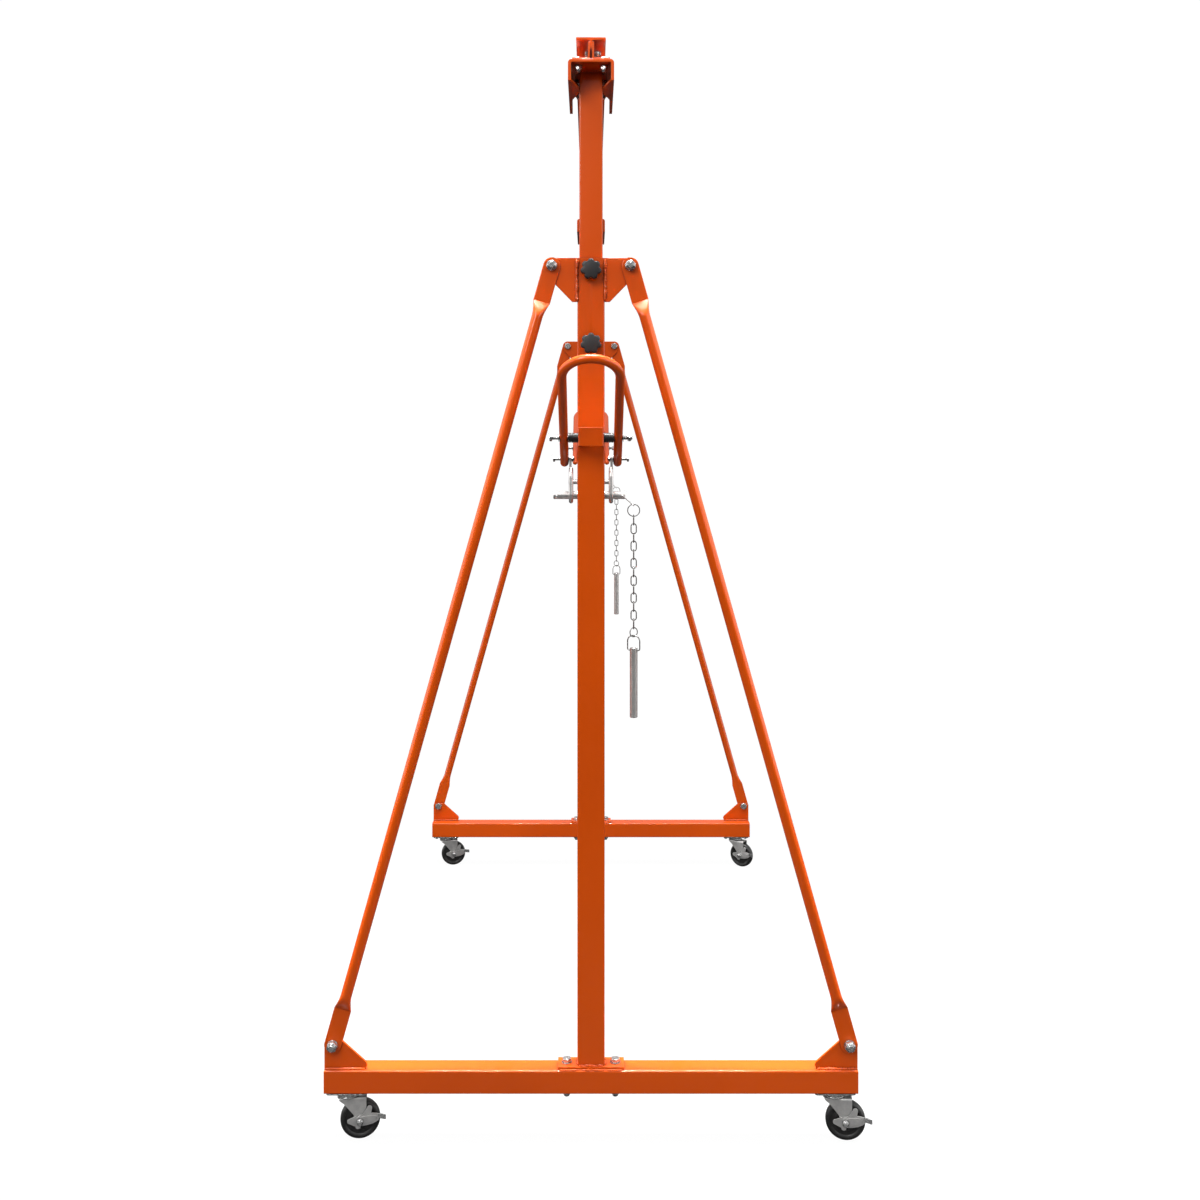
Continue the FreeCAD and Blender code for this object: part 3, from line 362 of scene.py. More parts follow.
PAINT = powder_coat("orange_paint")
BEAD_PAINT = powder_coat("orange_paint_on_welds", gloss=1.0)
ZINC = zinc_plate()
CHAIN = chain_steel()
PRESSED = pressed_steel()
STEEL_X = drawn_steel("bright_steel_across", (0.02, 1.0, 1.0))
STEEL_Z = drawn_steel("bright_steel_upright", (1.0, 1.0, 0.02))
PLASTIC = black_plastic()
RUBBER = black_rubber()
FINISHES = {
    "orange_paint": PAINT, "zinc_plate": ZINC, "bright_steel": STEEL_Z,
    "black_plastic": PLASTIC, "black_rubber": RUBBER,
}
SPECIAL = {"lift_bar": STEEL_X, "pin_chain": CHAIN}  # by node name without its front_ or rear_
SHARP_PLATES = ("bracket", "saddle", "saddle_angles", "outer_post", "beam", "caster_plates")
PLATE_EDGE = 0.8 * MM
SPLIT_CORNER = 0.01 * MM      # corners nearer than this are one
EDGE_SEGMENTS = 2
EDGE_ANGLE = 40               # edges sharper than this are rounded, in degrees
FLAT_FACE_WEIGHT = 100        # the most that large faces can count for in the normals


def soften_edges(piece, width, weld=False):
    """Real rounded edges on a piece of plate, its flats kept flat; weld joins corners the import split."""
    if weld:
        join = piece.modifiers.new("weld", "WELD")
        join.merge_threshold = SPLIT_CORNER
    bevel = piece.modifiers.new("edges", "BEVEL")
    bevel.width = width
    bevel.segments = EDGE_SEGMENTS
    bevel.limit_method = "ANGLE"
    bevel.angle_limit = math.radians(EDGE_ANGLE)
    flatten = piece.modifiers.new("flat_faces", "WEIGHTED_NORMAL")
    flatten.keep_sharp = False
    flatten.weight = FLAT_FACE_WEIGHT


def finish_cad_nodes():
    """Every carried-over CAD node gets its slot's material, and sheet parts get rounded edges."""
    for name, node in frame["nodes"].items():
        material = SPECIAL.get(name.split("_", 1)[-1], FINISHES[SLOTS[name]])
        for index in range(max(1, len(node.material_slots))):
            if index < len(node.material_slots):
                node.material_slots[index].material = material
            else:
                node.data.materials.append(material)
        if name.endswith(SHARP_PLATES):
            soften_edges(node, PLATE_EDGE, weld=True)


# ---- gussets ----
BRACE_LOW = (661 * MM, 250 * MM)
BRACE_HIGH = (100.5 * MM, 2244 * MM)
BRACE_BOLT_HOLE = 8.5 * MM
GUSSETS = {                   # outline in X and Z, mm, and the place of the brace bolt
    "base": (((683, 187), (683, 255), (675, 262), (638, 261), (576, 206), (573, 198), (577, 187)), BRACE_LOW),
    "post": (
        ((35, 2265), (103, 2265), (114, 2258), (118, 2246), (116, 2222), (48, 2152), (35, 2152)),
        BRACE_HIGH,
    ),
}
GUSSET_EDGE = 1 * MM
DRILL_START = -1 * MM         # from the inner face of the gusset
DRILL_LENGTH = 8 * MM


def add_gussets(side):
    """Flame-cut plates beside the post and on the base tube, each with its brace bolt's hole."""
    for label, (outline, (bolt_x, bolt_z)) in GUSSETS.items():
        plates, drills = [], []
        for way in (-1, 1):
            plates.append(loft([[(way * x * MM, out, z * MM) for x, z in outline] for out in GUSSET_OUT]))
            start = (way * bolt_x, GUSSET_OUT[0] + DRILL_START, bolt_z)
            profile = [(0, BRACE_BOLT_HOLE), (DRILL_LENGTH, BRACE_BOLT_HOLE)]
            drills.append(lathe(profile, start, (0, 1, 0), steps=32))
        piece = put_on_frame(side, f"{side}_{label}_gusset_plates", join_parts(plates), PAINT, f"{side}_base",
                             "orange_paint", [f"{side}_{label}_gussets"], smooth_angle=30)
        verts, faces = join_parts(drills)
        apply_cut(piece, make_object(f"{side}_{label}_drill", on_frame(verts, side), faces, PAINT))
        soften_edges(piece, GUSSET_EDGE)


# ---- braces ----
BRACE_RADIUS = 14 * MM
BRACE_FLAT_HALF = 22 * MM
BRACE_FLAT_THICK = 4 * MM
BRACE_FLAT_RUN = 95 * MM
BRACE_TAPER_RUN = 43 * MM
SECTION_POINTS = 48
FLAT_RATIO = 0.09             # thickness to width where the tube is pressed flat
FLAT_POWER = 7.0              # of the superellipse: nearly a rectangle
ROUND_POWER = 2.0             # an ellipse
ROUNDING_CURVE = 0.6
TIP_STEPS = 9                 # rings round the tip of the flat
TAPER_STEPS = 14              # rings from the flat to the round tube
THINNEST_RING = 0.4 * MM


def brace_section(a, c):
    """A ring from a flat strip to a circle: half width a, half thickness c, resting on out = 0."""
    roundness = min(max((c / a - FLAT_RATIO) / (1 - FLAT_RATIO), 0.0), 1.0)
    power = mix(FLAT_POWER, ROUND_POWER, roundness ** ROUNDING_CURVE)
    ring = []
    for angle in circle_angles(SECTION_POINTS):
        cos, sin = math.cos(angle), math.sin(angle)
        across = a * math.copysign(abs(cos) ** (2 / power), cos)
        depth = c * math.copysign(abs(sin) ** (2 / power), sin)
        ring.append((across, c + depth))
    return ring


def brace_shape(side_x):
    """A tube pressed flat at its ends, with the crease where the press stopped."""
    length = math.dist(BRACE_LOW, BRACE_HIGH)
    stations = []             # distance along the brace, share of the full width, roundness
    for i in range(TIP_STEPS):
        angle = math.pi / 2 * i / (TIP_STEPS - 1)
        stations.append((-BRACE_FLAT_HALF * math.cos(angle), max(math.sin(angle), 0.02), 0.0))
    for i in range(TAPER_STEPS + 1):
        t = i / TAPER_STEPS
        stations.append((BRACE_FLAT_RUN + BRACE_TAPER_RUN * t, 1.0, math.sin(math.pi / 2 * t)))
    stations += [(length - along, width, blend) for along, width, blend in reversed(stations)]
    lean = math.atan2(side_x * (BRACE_HIGH[0] - BRACE_LOW[0]), BRACE_HIGH[1] - BRACE_LOW[1])
    rings = []
    for along, width, blend in stations:
        a = mix(BRACE_FLAT_HALF, BRACE_RADIUS, blend) * width
        c = mix(BRACE_FLAT_THICK / 2, BRACE_RADIUS, blend)
        ring = []
        for across, depth in brace_section(max(a, THINNEST_RING), c):
            x = side_x * BRACE_LOW[0] + along * math.sin(lean) + across * math.cos(lean)
            z = BRACE_LOW[1] + along * math.cos(lean) - across * math.sin(lean)
            ring.append((x, GUSSET_OUT[1] + depth, z))
        rings.append(ring)
    return loft(rings)


def add_braces(side):
    put_on_frame(side, f"{side}_brace_tubes", join_parts([brace_shape(-1), brace_shape(1)]), PAINT,
                 f"{side}_base", "orange_paint", [f"{side}_braces"], smooth_angle=24)


# ---- fasteners ----
HEX_STEPS = 60
HEXAGONS = {                  # by bolt size, all in mm: across flats, head, nut and the collar of a lock nut
    8: (13.0, 5.3, 5.0, 2.0),
    10: (16.0, 6.5, 8.0, 2.0),
    12: (18.0, 7.5, 10.0, 3.0),
    14: (21.0, 9.0, 11.0, 3.0),
    16: (24.0, 10.0, 12.0, 4.0),
}
WASHERS = {                   # by bolt size, all in mm: outer radius, bore radius, thickness
    10: (10.0, 5.2, 1.5),
    14: (13.0, 7.4, 2.5),
    16: (13.4, 8.3, 3.0),
}
FOOT_BOLT_X = 62.5 * MM
PIVOT_BOLT_ENDS = (-98 * MM, 104 * MM)
LEVER_SIDE = 80.2 * MM        # from the middle to the washers outside the lever's tubes
LINK_BOLT_ENDS = (92.5 * MM, 42.5 * MM)
LINK_NUT_X = 49.5 * MM
SADDLE_SHEET = 8 * MM
ANGLE_SHEET = 5 * MM
ANGLE_FACE = 7.7 * MM         # outer face of an upright angle leg
SADDLE_BOLT_X = 33 * MM
SADDLE_BOLT_OUT = (60 * MM, -65 * MM, -170 * MM)
SADDLE_BOLT_REACH = 17 * MM
WEB_BOLT_RISE = 34 * MM
WEB_BOLT_OUT = (18 * MM, -80 * MM, -150 * MM)
FOOT_BOLT_REACH = 18 * MM     # below the base tube
BRACE_BOLT_REACH = 20 * MM    # beyond the brace
PIVOT_NUT_BACK = 12 * MM      # from the end of the bolt to the nut's inner face
THREAD_PITCH = 1.5 * MM
THREAD_ROOT = (0.86, 0.88)    # of the radius: at the rod's end and between the ridges
COLLAR_RADIUS = 0.44          # of the width across flats
CHAMFER = math.radians(30)    # of a hexagon's corners
FACE_CIRCLE = 0.95            # of half the width across flats, where the chamfer starts


def threaded_rod(radius, start, end, steps=24):
    """A screw seen from outside: V-shaped ridges one pitch apart between start and end."""
    run = Vector(end) - Vector(start)
    profile = [(0.0, 0.0), (0.0, radius * THREAD_ROOT[0])]
    count = max(2, int(run.length / THREAD_PITCH))
    for i in range(count):
        profile.append(((i + 0.5) * run.length / count, radius))
        profile.append(((i + 1.0) * run.length / count, radius * THREAD_ROOT[1]))
    profile.append((run.length, 0.0))
    return lathe(profile, start, run, steps)


def hexagon(across, height, start, direction):
    """A hexagonal body whose corners are turned off by a 30 degree cone at both ends."""
    axis = Vector(direction).normalized()
    first = axis.orthogonal().normalized()
    second = axis.cross(first)
    flat = across / 2
    corner = across / math.sqrt(3)
    face_radius = flat * FACE_CIRCLE
    depth = (corner - face_radius) * math.tan(CHAMFER)
    rises = [0.0, depth / 3, depth * 2 / 3, depth]
    levels = rises + [height - rise for rise in reversed(rises)]
    rings = []
    for along in levels:
        cone = face_radius + min(along, height - along) / math.tan(CHAMFER)
        ring = []
        for angle in circle_angles(HEX_STEPS):
            bearing = (angle + math.pi / 6) % (math.pi / 3) - math.pi / 6
            radius = min(corner * math.cos(math.pi / 6) / math.cos(bearing), cone)
            spoke = first * math.cos(angle) + second * math.sin(angle)
            ring.append(Vector(start) + axis * along + spoke * radius)
        rings.append(ring)
    return loft(rings)


def washer(size, start, direction):
    """A flat ring with its outer edge rounded."""
    outer, inner, height = (value * MM for value in WASHERS[size])
    soft = min(0.4 * MM, height / 3)
    profile = [(0, inner), (0, outer - soft), (soft, outer), (height - soft, outer), (height, outer - soft),
               (height, inner)]
    return quads_only(lathe(profile, start, direction, steps=48))


def bolt(size, head_at, end_at):
    """A hexagon-head bolt with its thread on the far part of the shank."""
    across, head, _, _ = (value * MM for value in HEXAGONS[size])
    radius = size * MM / 2
    start, end = Vector(head_at), Vector(end_at)
    run = end - start
    thread_start = end - run.normalized() * min(run.length * 0.5, 4.4 * radius)
    plain = (thread_start - start).length
    shank = lathe([(0, 0), (0, radius), (plain, radius), (plain, 0)], start, run, steps=28)
    return join_parts([hexagon(across, head, head_at, -run), shank, threaded_rod(radius, thread_start, end)])


def nut(size, start, direction, lock=True):
    """A nut; a lock nut has a round collar with its nylon ring recessed in the top."""
    across, _, height, collar = (value * MM for value in HEXAGONS[size])
    parts = [hexagon(across, height, start, direction)]
    if lock:
        rim, bore = across * COLLAR_RADIUS, size * MM / 2
        top = Vector(start) + Vector(direction).normalized() * height
        profile = [(-0.5 * MM, rim), (collar - MM, rim), (collar - 0.3 * MM, rim - 0.7 * MM),
                   (collar, rim - 1.6 * MM), (collar, bore + 1.4 * MM), (collar - 0.9 * MM, bore + 0.7 * MM),
                   (collar - 0.9 * MM, 0)]
        parts.append(lathe(profile, top, direction, steps=40))
    return join_parts(parts)


def base_fasteners():
    """Foot bolts, and the brace bolts whose lock nuts face outwards."""
    foot, brace = [], []
    for x in (-FOOT_BOLT_X, FOOT_BOLT_X):
        head_z = FOOT_PLATE_TOP + WASHERS[14][2] * MM
        foot.append(washer(14, (x, 0, FOOT_PLATE_TOP), (0, 0, 1)))
        foot.append(bolt(14, (x, 0, head_z), (x, 0, CASTER_TOP - FOOT_BOLT_REACH)))
        foot.append(nut(14, (x, 0, CASTER_TOP), (0, 0, -1)))
    front = GUSSET_OUT[1] + BRACE_FLAT_THICK
    nut_out = front + WASHERS[16][2] * MM
    for high_x, z in (BRACE_LOW, BRACE_HIGH):
        for x in (-high_x, high_x):
            brace.append(bolt(16, (x, GUSSET_OUT[0], z), (x, front + BRACE_BOLT_REACH, z)))
            brace.append(washer(16, (x, front, z), (0, 1, 0)))
            brace.append(nut(16, (x, nut_out, z), (0, 1, 0)))
    return foot, brace


def lever_fasteners():
    """The lever's pivot bolt, and the short bolts that carry the links."""
    at = (PIVOT_OUT, PIVOT_Z)
    pivot = [
        bolt(10, (PIVOT_BOLT_ENDS[0], *at), (PIVOT_BOLT_ENDS[1], *at)),
        nut(10, (PIVOT_BOLT_ENDS[1] - PIVOT_NUT_BACK, *at), (1, 0, 0)),
        washer(10, (LEVER_SIDE, *at), (1, 0, 0)),
        washer(10, (-LEVER_SIDE, *at), (-1, 0, 0)),
    ]
    link = []
    for way in (-1, 1):
        head, end = ((way * x, 0, LINK_BOLT_Z) for x in LINK_BOLT_ENDS)
        link.append(bolt(8, head, end))
        link.append(nut(8, (way * LINK_NUT_X, 0, LINK_BOLT_Z), (-way, 0, 0), lock=False))
    return pivot, link


def saddle_fasteners():
    """Upright bolts through saddle and angles, and cross bolts through angles and web."""
    found = []
    under, shelf = SADDLE_TOP - SADDLE_SHEET, SADDLE_TOP + ANGLE_SHEET
    for out in SADDLE_BOLT_OUT:
        for x in (-SADDLE_BOLT_X, SADDLE_BOLT_X):
            found.append(bolt(12, (x, out, shelf), (x, out, under - SADDLE_BOLT_REACH)))
            found.append(nut(12, (x, out, under), (0, 0, -1)))
    cross_z = SADDLE_TOP + WEB_BOLT_RISE
    for out in WEB_BOLT_OUT:
        found.append(bolt(12, (-ANGLE_FACE, out, cross_z), (ANGLE_FACE + SADDLE_BOLT_REACH, out, cross_z)))
        found.append(nut(12, (ANGLE_FACE, out, cross_z), (1, 0, 0)))
    return found


def add_fasteners(side):
    """One piece for each group of fasteners that is a CAD node."""
    foot, brace = base_fasteners()
    pivot, link = lever_fasteners()
    rows = (("foot", foot, "foot_bolts", f"{side}_base"), ("brace", brace, "brace_bolts", f"{side}_base"),
            ("pivot", pivot, "pivot_bolt", f"{side}_base"), ("link", link, "link_bolts", f"{side}_lever"),
            ("saddle", saddle_fasteners(), "saddle_bolts", "upper"))
    for label, parts, node, body in rows:
        put_on_frame(side, f"{side}_{label}_fasteners", join_parts(parts), ZINC, body, "zinc_plate",
                     [f"{side}_{node}"], smooth_angle=28)


SPACER_X = (32.2 * MM, 57.1 * MM)
SPACER_BORE = 5.2 * MM
SPACER_END = 11.8 * MM        # radius of the ends
SPACER_RIBS = 6
RIB = ((0.15, 12.5), (0.6, 12.5), (0.75, 11.2), (0.95, 11.2))  # share of the pitch, radius in mm


def add_spacers(side):
    """Ribbed black spacers between the bracket and the lever."""
    parts = []
    run = SPACER_X[1] - SPACER_X[0]
    pitch = run / SPACER_RIBS
    for way in (-1, 1):
        profile = [(0, SPACER_BORE), (0, SPACER_END)]
        for i in range(SPACER_RIBS):
            profile += [(i * pitch + share * pitch, radius * MM) for share, radius in RIB]
        profile += [(run, SPACER_END), (run, SPACER_BORE)]
        start = (way * SPACER_X[0], PIVOT_OUT, PIVOT_Z)
        parts.append(quads_only(lathe(profile, start, (way, 0, 0), steps=48)))
    put_on_frame(side, f"{side}_ribbed_spacers", join_parts(parts), PLASTIC, f"{side}_base", "black_plastic",
                 [f"{side}_pivot_spacers"], smooth_angle=30)


# ---- star knobs ----
KNOB_LOBES = 7
KNOB_STANDOFF = 9 * MM        # from the outer post to the back of the knob
KNOB_BACK = OUTER_HALF_Y + KNOB_STANDOFF
KNOB_RADIUS = 27 * MM
KNOB_DEPTH = 22 * MM
SCALLOP = 5.6 * MM
NOTCH_SHARPNESS = 2.0         # 1 gives an even wave, more gives broad lobes and narrow notches
KNOB_BOSS = (12 * MM, 1 * MM, 5 * MM)  # radius, chamfer and height of the boss at the back
KNOB_FLARE = (6 * MM, 4 * MM)  # how far the back starts beyond the boss, and its depth
KNOB_RIM = 6 * MM
KNOB_DOME = 1.4 * MM
SCALLOP_IN_FACE = 0.35        # of the full scallop, where the dome starts
KNOB_BACK_STEPS = 4
KNOB_RIM_STEPS = 6
KNOB_CENTRE = 0.001 * MM      # least radius, where the profile meets the axis
CLAMP_SCREW_RADIUS = 5 * MM
CLAMP_SCREW_GAP = 0.6 * MM    # from the inner post to the screw's end
CLAMP_SCREW_SEAT = 1 * MM     # how far the screw goes into the knob


def knob_profile():
    """(out, radius, scallop) from the boss at the back, round the rim, to the domed face."""
    boss, chamfer, shoulder = KNOB_BOSS
    beyond, flare = KNOB_FLARE
    levels = [(0.0, 0.0, 0.0), (0.0, boss - chamfer, 0.0), (chamfer, boss, 0.0), (shoulder, boss, 0.0)]
    for i in range(KNOB_BACK_STEPS + 1):
        angle = math.pi / 2 * i / KNOB_BACK_STEPS
        reach = mix(boss + beyond, KNOB_RADIUS, math.sin(angle))
        levels.append((shoulder + flare * (1 - math.cos(angle)), reach, SCALLOP * math.sin(angle)))
    face = KNOB_DEPTH - KNOB_DOME
    for i in range(KNOB_RIM_STEPS + 1):
        share = i / KNOB_RIM_STEPS
        angle = math.pi / 2 * i / KNOB_RIM_STEPS
        radius = KNOB_RADIUS - KNOB_RIM * (1 - math.cos(angle))
        out = face - KNOB_RIM * (1 - math.sin(angle))
        levels.append((out, radius, SCALLOP * mix(1.0, SCALLOP_IN_FACE, share)))
    for t in (0.8, 0.6, 0.4, 0.2, 0.0):
        levels.append((KNOB_DEPTH - KNOB_DOME * t * t, (KNOB_RADIUS - KNOB_RIM) * t, 0.0))
    return levels


def knob_shape(z, steps=140):
    """A star knob on the clamp screw at this height, with a lobe at the top."""
    rings = []
    for out, radius, depth in knob_profile():
        ring = []
        for angle in circle_angles(steps):
            dip = (0.5 - 0.5 * math.cos(KNOB_LOBES * (angle - math.pi / 2))) ** NOTCH_SHARPNESS
            r = max(radius - depth * dip, KNOB_CENTRE)
            ring.append((r * math.cos(angle), KNOB_BACK + out, z + r * math.sin(angle)))
        rings.append(ring)
    return loft(rings, closed_ends=False)


def add_knobs(side):
    for level in ("upper", "lower"):
        body = f"{side}_{level}_knob"
        z = JOINTS[f"{body}_turn"]["pos_m"][2]
        put_on_frame(side, f"{body}_head", knob_shape(z), PLASTIC, body, "black_plastic",
                     [f"{side}_clamp_knob_{level}"], smooth_angle=40)
        tip, seat = (0, POST_HALF_Y + CLAMP_SCREW_GAP, z), (0, KNOB_BACK + CLAMP_SCREW_SEAT, z)
        screw = threaded_rod(CLAMP_SCREW_RADIUS, tip, seat)
        put_on_frame(side, f"{body}_screw", screw, ZINC, body, "zinc_plate")


# ---- inner posts ----
POST_WALL = 3 * MM
POST_CORNERS = (3 * MM, 0.6 * MM)  # outside and inside radius
PIN_HOLE_RADIUS = 11 * MM
PIN_PITCH = 100 * MM


def rounded_rectangle(half_x, half_y, radius, steps=5):
    """A ring round a rectangle with each corner drawn in the given number of steps."""
    ring = []
    for corner in range(4):
        cx = (half_x - radius) * (1 if corner in (0, 3) else -1)
        cy = (half_y - radius) * (1 if corner in (0, 1) else -1)
        for i in range(steps + 1):
            angle = math.pi / 2 * (corner + i / steps)
            ring.append((cx + radius * math.cos(angle), cy + radius * math.sin(angle)))
    return ring


def add_inner_post(side):
    """The sliding post with its real row of round pin holes."""
    low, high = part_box(f"{side}_inner_post")
    outer = rounded_rectangle(POST_HALF_X, POST_HALF_Y, POST_CORNERS[0])
    inner = rounded_rectangle(POST_HALF_X - POST_WALL, POST_HALF_Y - POST_WALL, POST_CORNERS[1])
    rings = []
    for section, z in ((outer, low.z), (outer, high.z), (inner, high.z), (inner, low.z)):
        rings.append([(x, y, z) for x, y in section])
    rings.append(rings[0])
    verts, faces = loft(rings, closed_ends=False)
    post = make_object(f"{side}_sliding_post", on_frame(verts, side), faces, PAINT)
    travel = JOINTS["raise_beam"]["range_m"]
    first, last = round(-travel[1] / PIN_PITCH), round(-travel[0] / PIN_PITCH)
    cutters = []
    for step in range(first, last + 1):
        z = BAR_Z + step * PIN_PITCH
        start = (-2 * POST_HALF_X, 0, z)
        profile = [(0, PIN_HOLE_RADIUS), (4 * POST_HALF_X, PIN_HOLE_RADIUS)]
        cutters.append(lathe(profile, start, (1, 0, 0), steps=40))
    verts, faces = join_parts(cutters)
    cutter = make_object(f"{side}_hole_cutter", on_frame(verts, side), faces, PAINT)
    apply_cut(post, cutter)
    shade(post, SMOOTH_ANGLE)
    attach(post, "upper")
    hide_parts(f"{side}_inner_post")


def apply_cut(piece, tool, operation="DIFFERENCE"):
    """Cuts the tool out of the piece, or joins it on, and removes the tool."""
    boolean = piece.modifiers.new("boolean", "BOOLEAN")
    boolean.object = tool
    boolean.operation = operation
    boolean.solver = "EXACT"
    bpy.context.view_layer.update()
    mesh = bpy.data.meshes.new_from_object(piece.evaluated_get(bpy.context.evaluated_depsgraph_get()))
    piece.modifiers.clear()
    piece.data = mesh
    bpy.data.objects.remove(tool)


# ---- weld beads ----
RIPPLE = 3.4 * MM             # length of one ripple of a bead
RINGS_PER_RIPPLE = 4
FEWEST_RINGS = 8
BEAD_POINTS = 14
DRIFT = 0.1                   # largest step of a bead's unevenness, of its radius
DRIFT_FADE = 0.85
BEAD_END = 0.35               # of the radius, at the very end of a bead
RIPPLE_DEPTH = 0.16           # of the radius
WELD_SEEDS = {"front": 11, "rear": 12}
# Places of the beads, all in millimetres.
BASE_GUSSET_BEAD = (579, 681, 1.2, 0.8, 4.2)   # from and to in X, rise, stand-off, radius
POST_GUSSET_BEAD = (2154, -3, 1.4, 0.6, 4.0)   # low end in Z, from the post's top, stand-offs, radius
FOOT_SIDE_BEAD = (16, 0.5, 3.8)                # half length, rise, radius
FOOT_FACE_BEAD = (31, 0.5, 3.8)
PLATE_BEAD = (80, 27, 0.5, 2.8)                # half length, place in Y, rise, radius
BRACKET_BEAD = (31.5, -19, 24, 3.2)            # place in X, below and above the pivot, radius
SADDLE_SIDE_BEAD = (13, 3.0)                   # half length, radius
SADDLE_FACE_BEAD = (28, 3.0)


def weld_bead(start, end, radius, rng):
    """A painted-over bead of overlapping ripples, a little uneven, from start to end."""
    start, end = Vector(start), Vector(end)
    run = end - start
    axis = run.normalized()
    first = axis.orthogonal().normalized()
    second = axis.cross(first)
    steps = max(FEWEST_RINGS, int(run.length / (RIPPLE / RINGS_PER_RIPPLE)))
    rings = []
    drift = 0.0
    for i in range(steps + 1):
        along = run.length * i / steps
        ripple = abs(math.sin(math.pi * along / RIPPLE))
        drift = DRIFT_FADE * drift + rng.uniform(-DRIFT, DRIFT)
        cap = min(1.0, BEAD_END + min(along, run.length - along) / (2 * radius))
        r = radius * cap * (1 - RIPPLE_DEPTH + RIPPLE_DEPTH * ripple + drift)
        centre = start + axis * along + first * (radius * drift)
        rings.append([
            centre + first * (r * math.cos(angle)) + second * (r * math.sin(angle))
            for angle in circle_angles(BEAD_POINTS)
        ])
    return loft(rings)


def add_welds(side):
    """The beads of one frame, and those of its saddle, which rises with the beam."""
    rng = random.Random(WELD_SEEDS[side])
    beads = []

    def bead(start, end, radius):
        """One bead; start, end and radius in millimetres."""
        beads.append(weld_bead(Vector(start) * MM, Vector(end) * MM, radius * MM, rng))

    def flush(name, body):
        put_on_frame(side, name, join_parts(beads), BEAD_PAINT, body, "orange_paint", smooth_angle=60)
        beads.clear()

    outer_x, outer_y, outer_top = (v / MM for v in (OUTER_HALF_X, OUTER_HALF_Y, OUTER_TOP))
    base_top, plate_top, pivot = (v / MM for v in (BASE_TOP, FOOT_PLATE_TOP, PIVOT_Z))
    post_x, post_y = POST_HALF_X / MM, POST_HALF_Y / MM
    back, front = (v / MM for v in GUSSET_OUT)
    for way in (-1, 1):
        low, high, rise, gap, radius = BASE_GUSSET_BEAD
        for out in (back - gap, front + gap):
            bead((way * low, out, base_top + rise), (way * high, out, base_top + rise), radius)
        low, from_top, gap, front_gap, radius = POST_GUSSET_BEAD
        for out in (back, front + front_gap):
            x = way * (outer_x + gap)
            bead((x, out, low), (x, out, outer_top + from_top), radius)
        half, rise, radius = FOOT_SIDE_BEAD
        bead((way * outer_x, -half, plate_top + rise), (way * outer_x, half, plate_top + rise), radius)
        half, rise, radius = FOOT_FACE_BEAD
        bead((-half, way * outer_y, plate_top + rise), (half, way * outer_y, plate_top + rise), radius)
        half, out, rise, radius = PLATE_BEAD
        bead((-half, way * out, base_top + rise), (half, way * out, base_top + rise), radius)
        x, below, above, radius = BRACKET_BEAD
        bead((way * x, outer_y, pivot + below), (way * x, outer_y, pivot + above), radius)
    flush(f"{side}_frame_welds", f"{side}_base")
    under = (SADDLE_TOP - SADDLE_SHEET) / MM
    for way in (-1, 1):
        half, radius = SADDLE_SIDE_BEAD
        bead((way * post_x, -half, under), (way * post_x, half, under), radius)
        half, radius = SADDLE_FACE_BEAD
        bead((-half, way * post_y, under), (half, way * post_y, under), radius)
    flush(f"{side}_saddle_welds", "upper")


# ---- casters ----
TRAIL = 30 * MM
AXLE_Z = 50.8 * MM
FORK_OUTER = 17.5 * MM
FORK_SHEET = 3 * MM
AXLE_REACH = 14.5 * MM
CROWN_TOP = 111.5 * MM
CROWN_RADIUS = 28 * MM
LEG_FOOT = 38 * MM
LEG_FRONT = ((38, 25), (46, 18), (66, 14), (96, -11), (104, -22), (112, -25))  # height and place, mm
LEG_BACK = ((38, 36), (42, 42), (64, 46), (112, 46))
BRAKE_OUT = FORK_OUTER + 0.6 * MM
BRAKE_SHEET = 2.5 * MM
FORK_BEND = 6 * MM
FORK_LEG_STEPS = 20
FORK_BEND_STEPS = 6
FORK_ACROSS = 18
FOLD = (1.1 * MM, 24 * MM, 4 * MM)     # height of the stiffening fold, its place across the leg, its width
FOLD_START = (6 * MM, 20 * MM)         # above the foot, and over what length it rises
BRAKE_EAR_RADIUS = 6.5 * MM
BRAKE_STEP = 0.01 * MM        # keeps the faces of overlapping parts of the brake apart
BRAKE_PANEL = (MM, 1.3 * MM)  # how far the raised panel starts and ends beyond the leaf
BRAKE_TAB_Z = (5 * MM, 17 * MM)
BRAKE_NUT_GAP = 0.6 * MM
AXLE_HEAD_GAP = 0.4 * MM
# Outlines about the axle, in millimetres: radius and half width of the wheel, place and height of the rest.
WHEEL_SIDE = ((5.1, 13.6), (12.6, 13.6), (14.0, 12.8), (15.4, 10.4), (24.0, 9.8), (25.0, 10.6), (27.0, 10.6),
              (28.0, 9.8), (36.0, 9.8), (38.4, 11.4), (40.6, 12.8), (44.4, 13.0), (46.8, 12.2), (48.8, 10.4),
              (50.0, 7.6), (50.7, 4.0), (50.8, 0.0))
BRAKE_LEAF = ((-8, 12), (0, 15), (8, 17), (18, 18.6), (26, 19.4), (36, 19), (43, 17.6), (48, 15.4), (50, 13),
              (50.4, 10), (50, 6), (46, 0), (40, -4), (31, -8), (20, -10.6), (8, -12), (-2, -12))
BRAKE_HEEL = ((-27, -5.5), (-28, 7), (-9, 14), (1, -19))
BRAKE_ARM = ((7, 18), (19, 35), (30, 29), (27, 14))
BRAKE_EARS = ((-26, 1), (-5, -13), (24, 32))
BRAKE_TAB = ((46, 0.1), (52, 1.4), (66, 9.0), (64.6, 11.2), (50, 3.8), (44.6, 2.4))  # place and depth


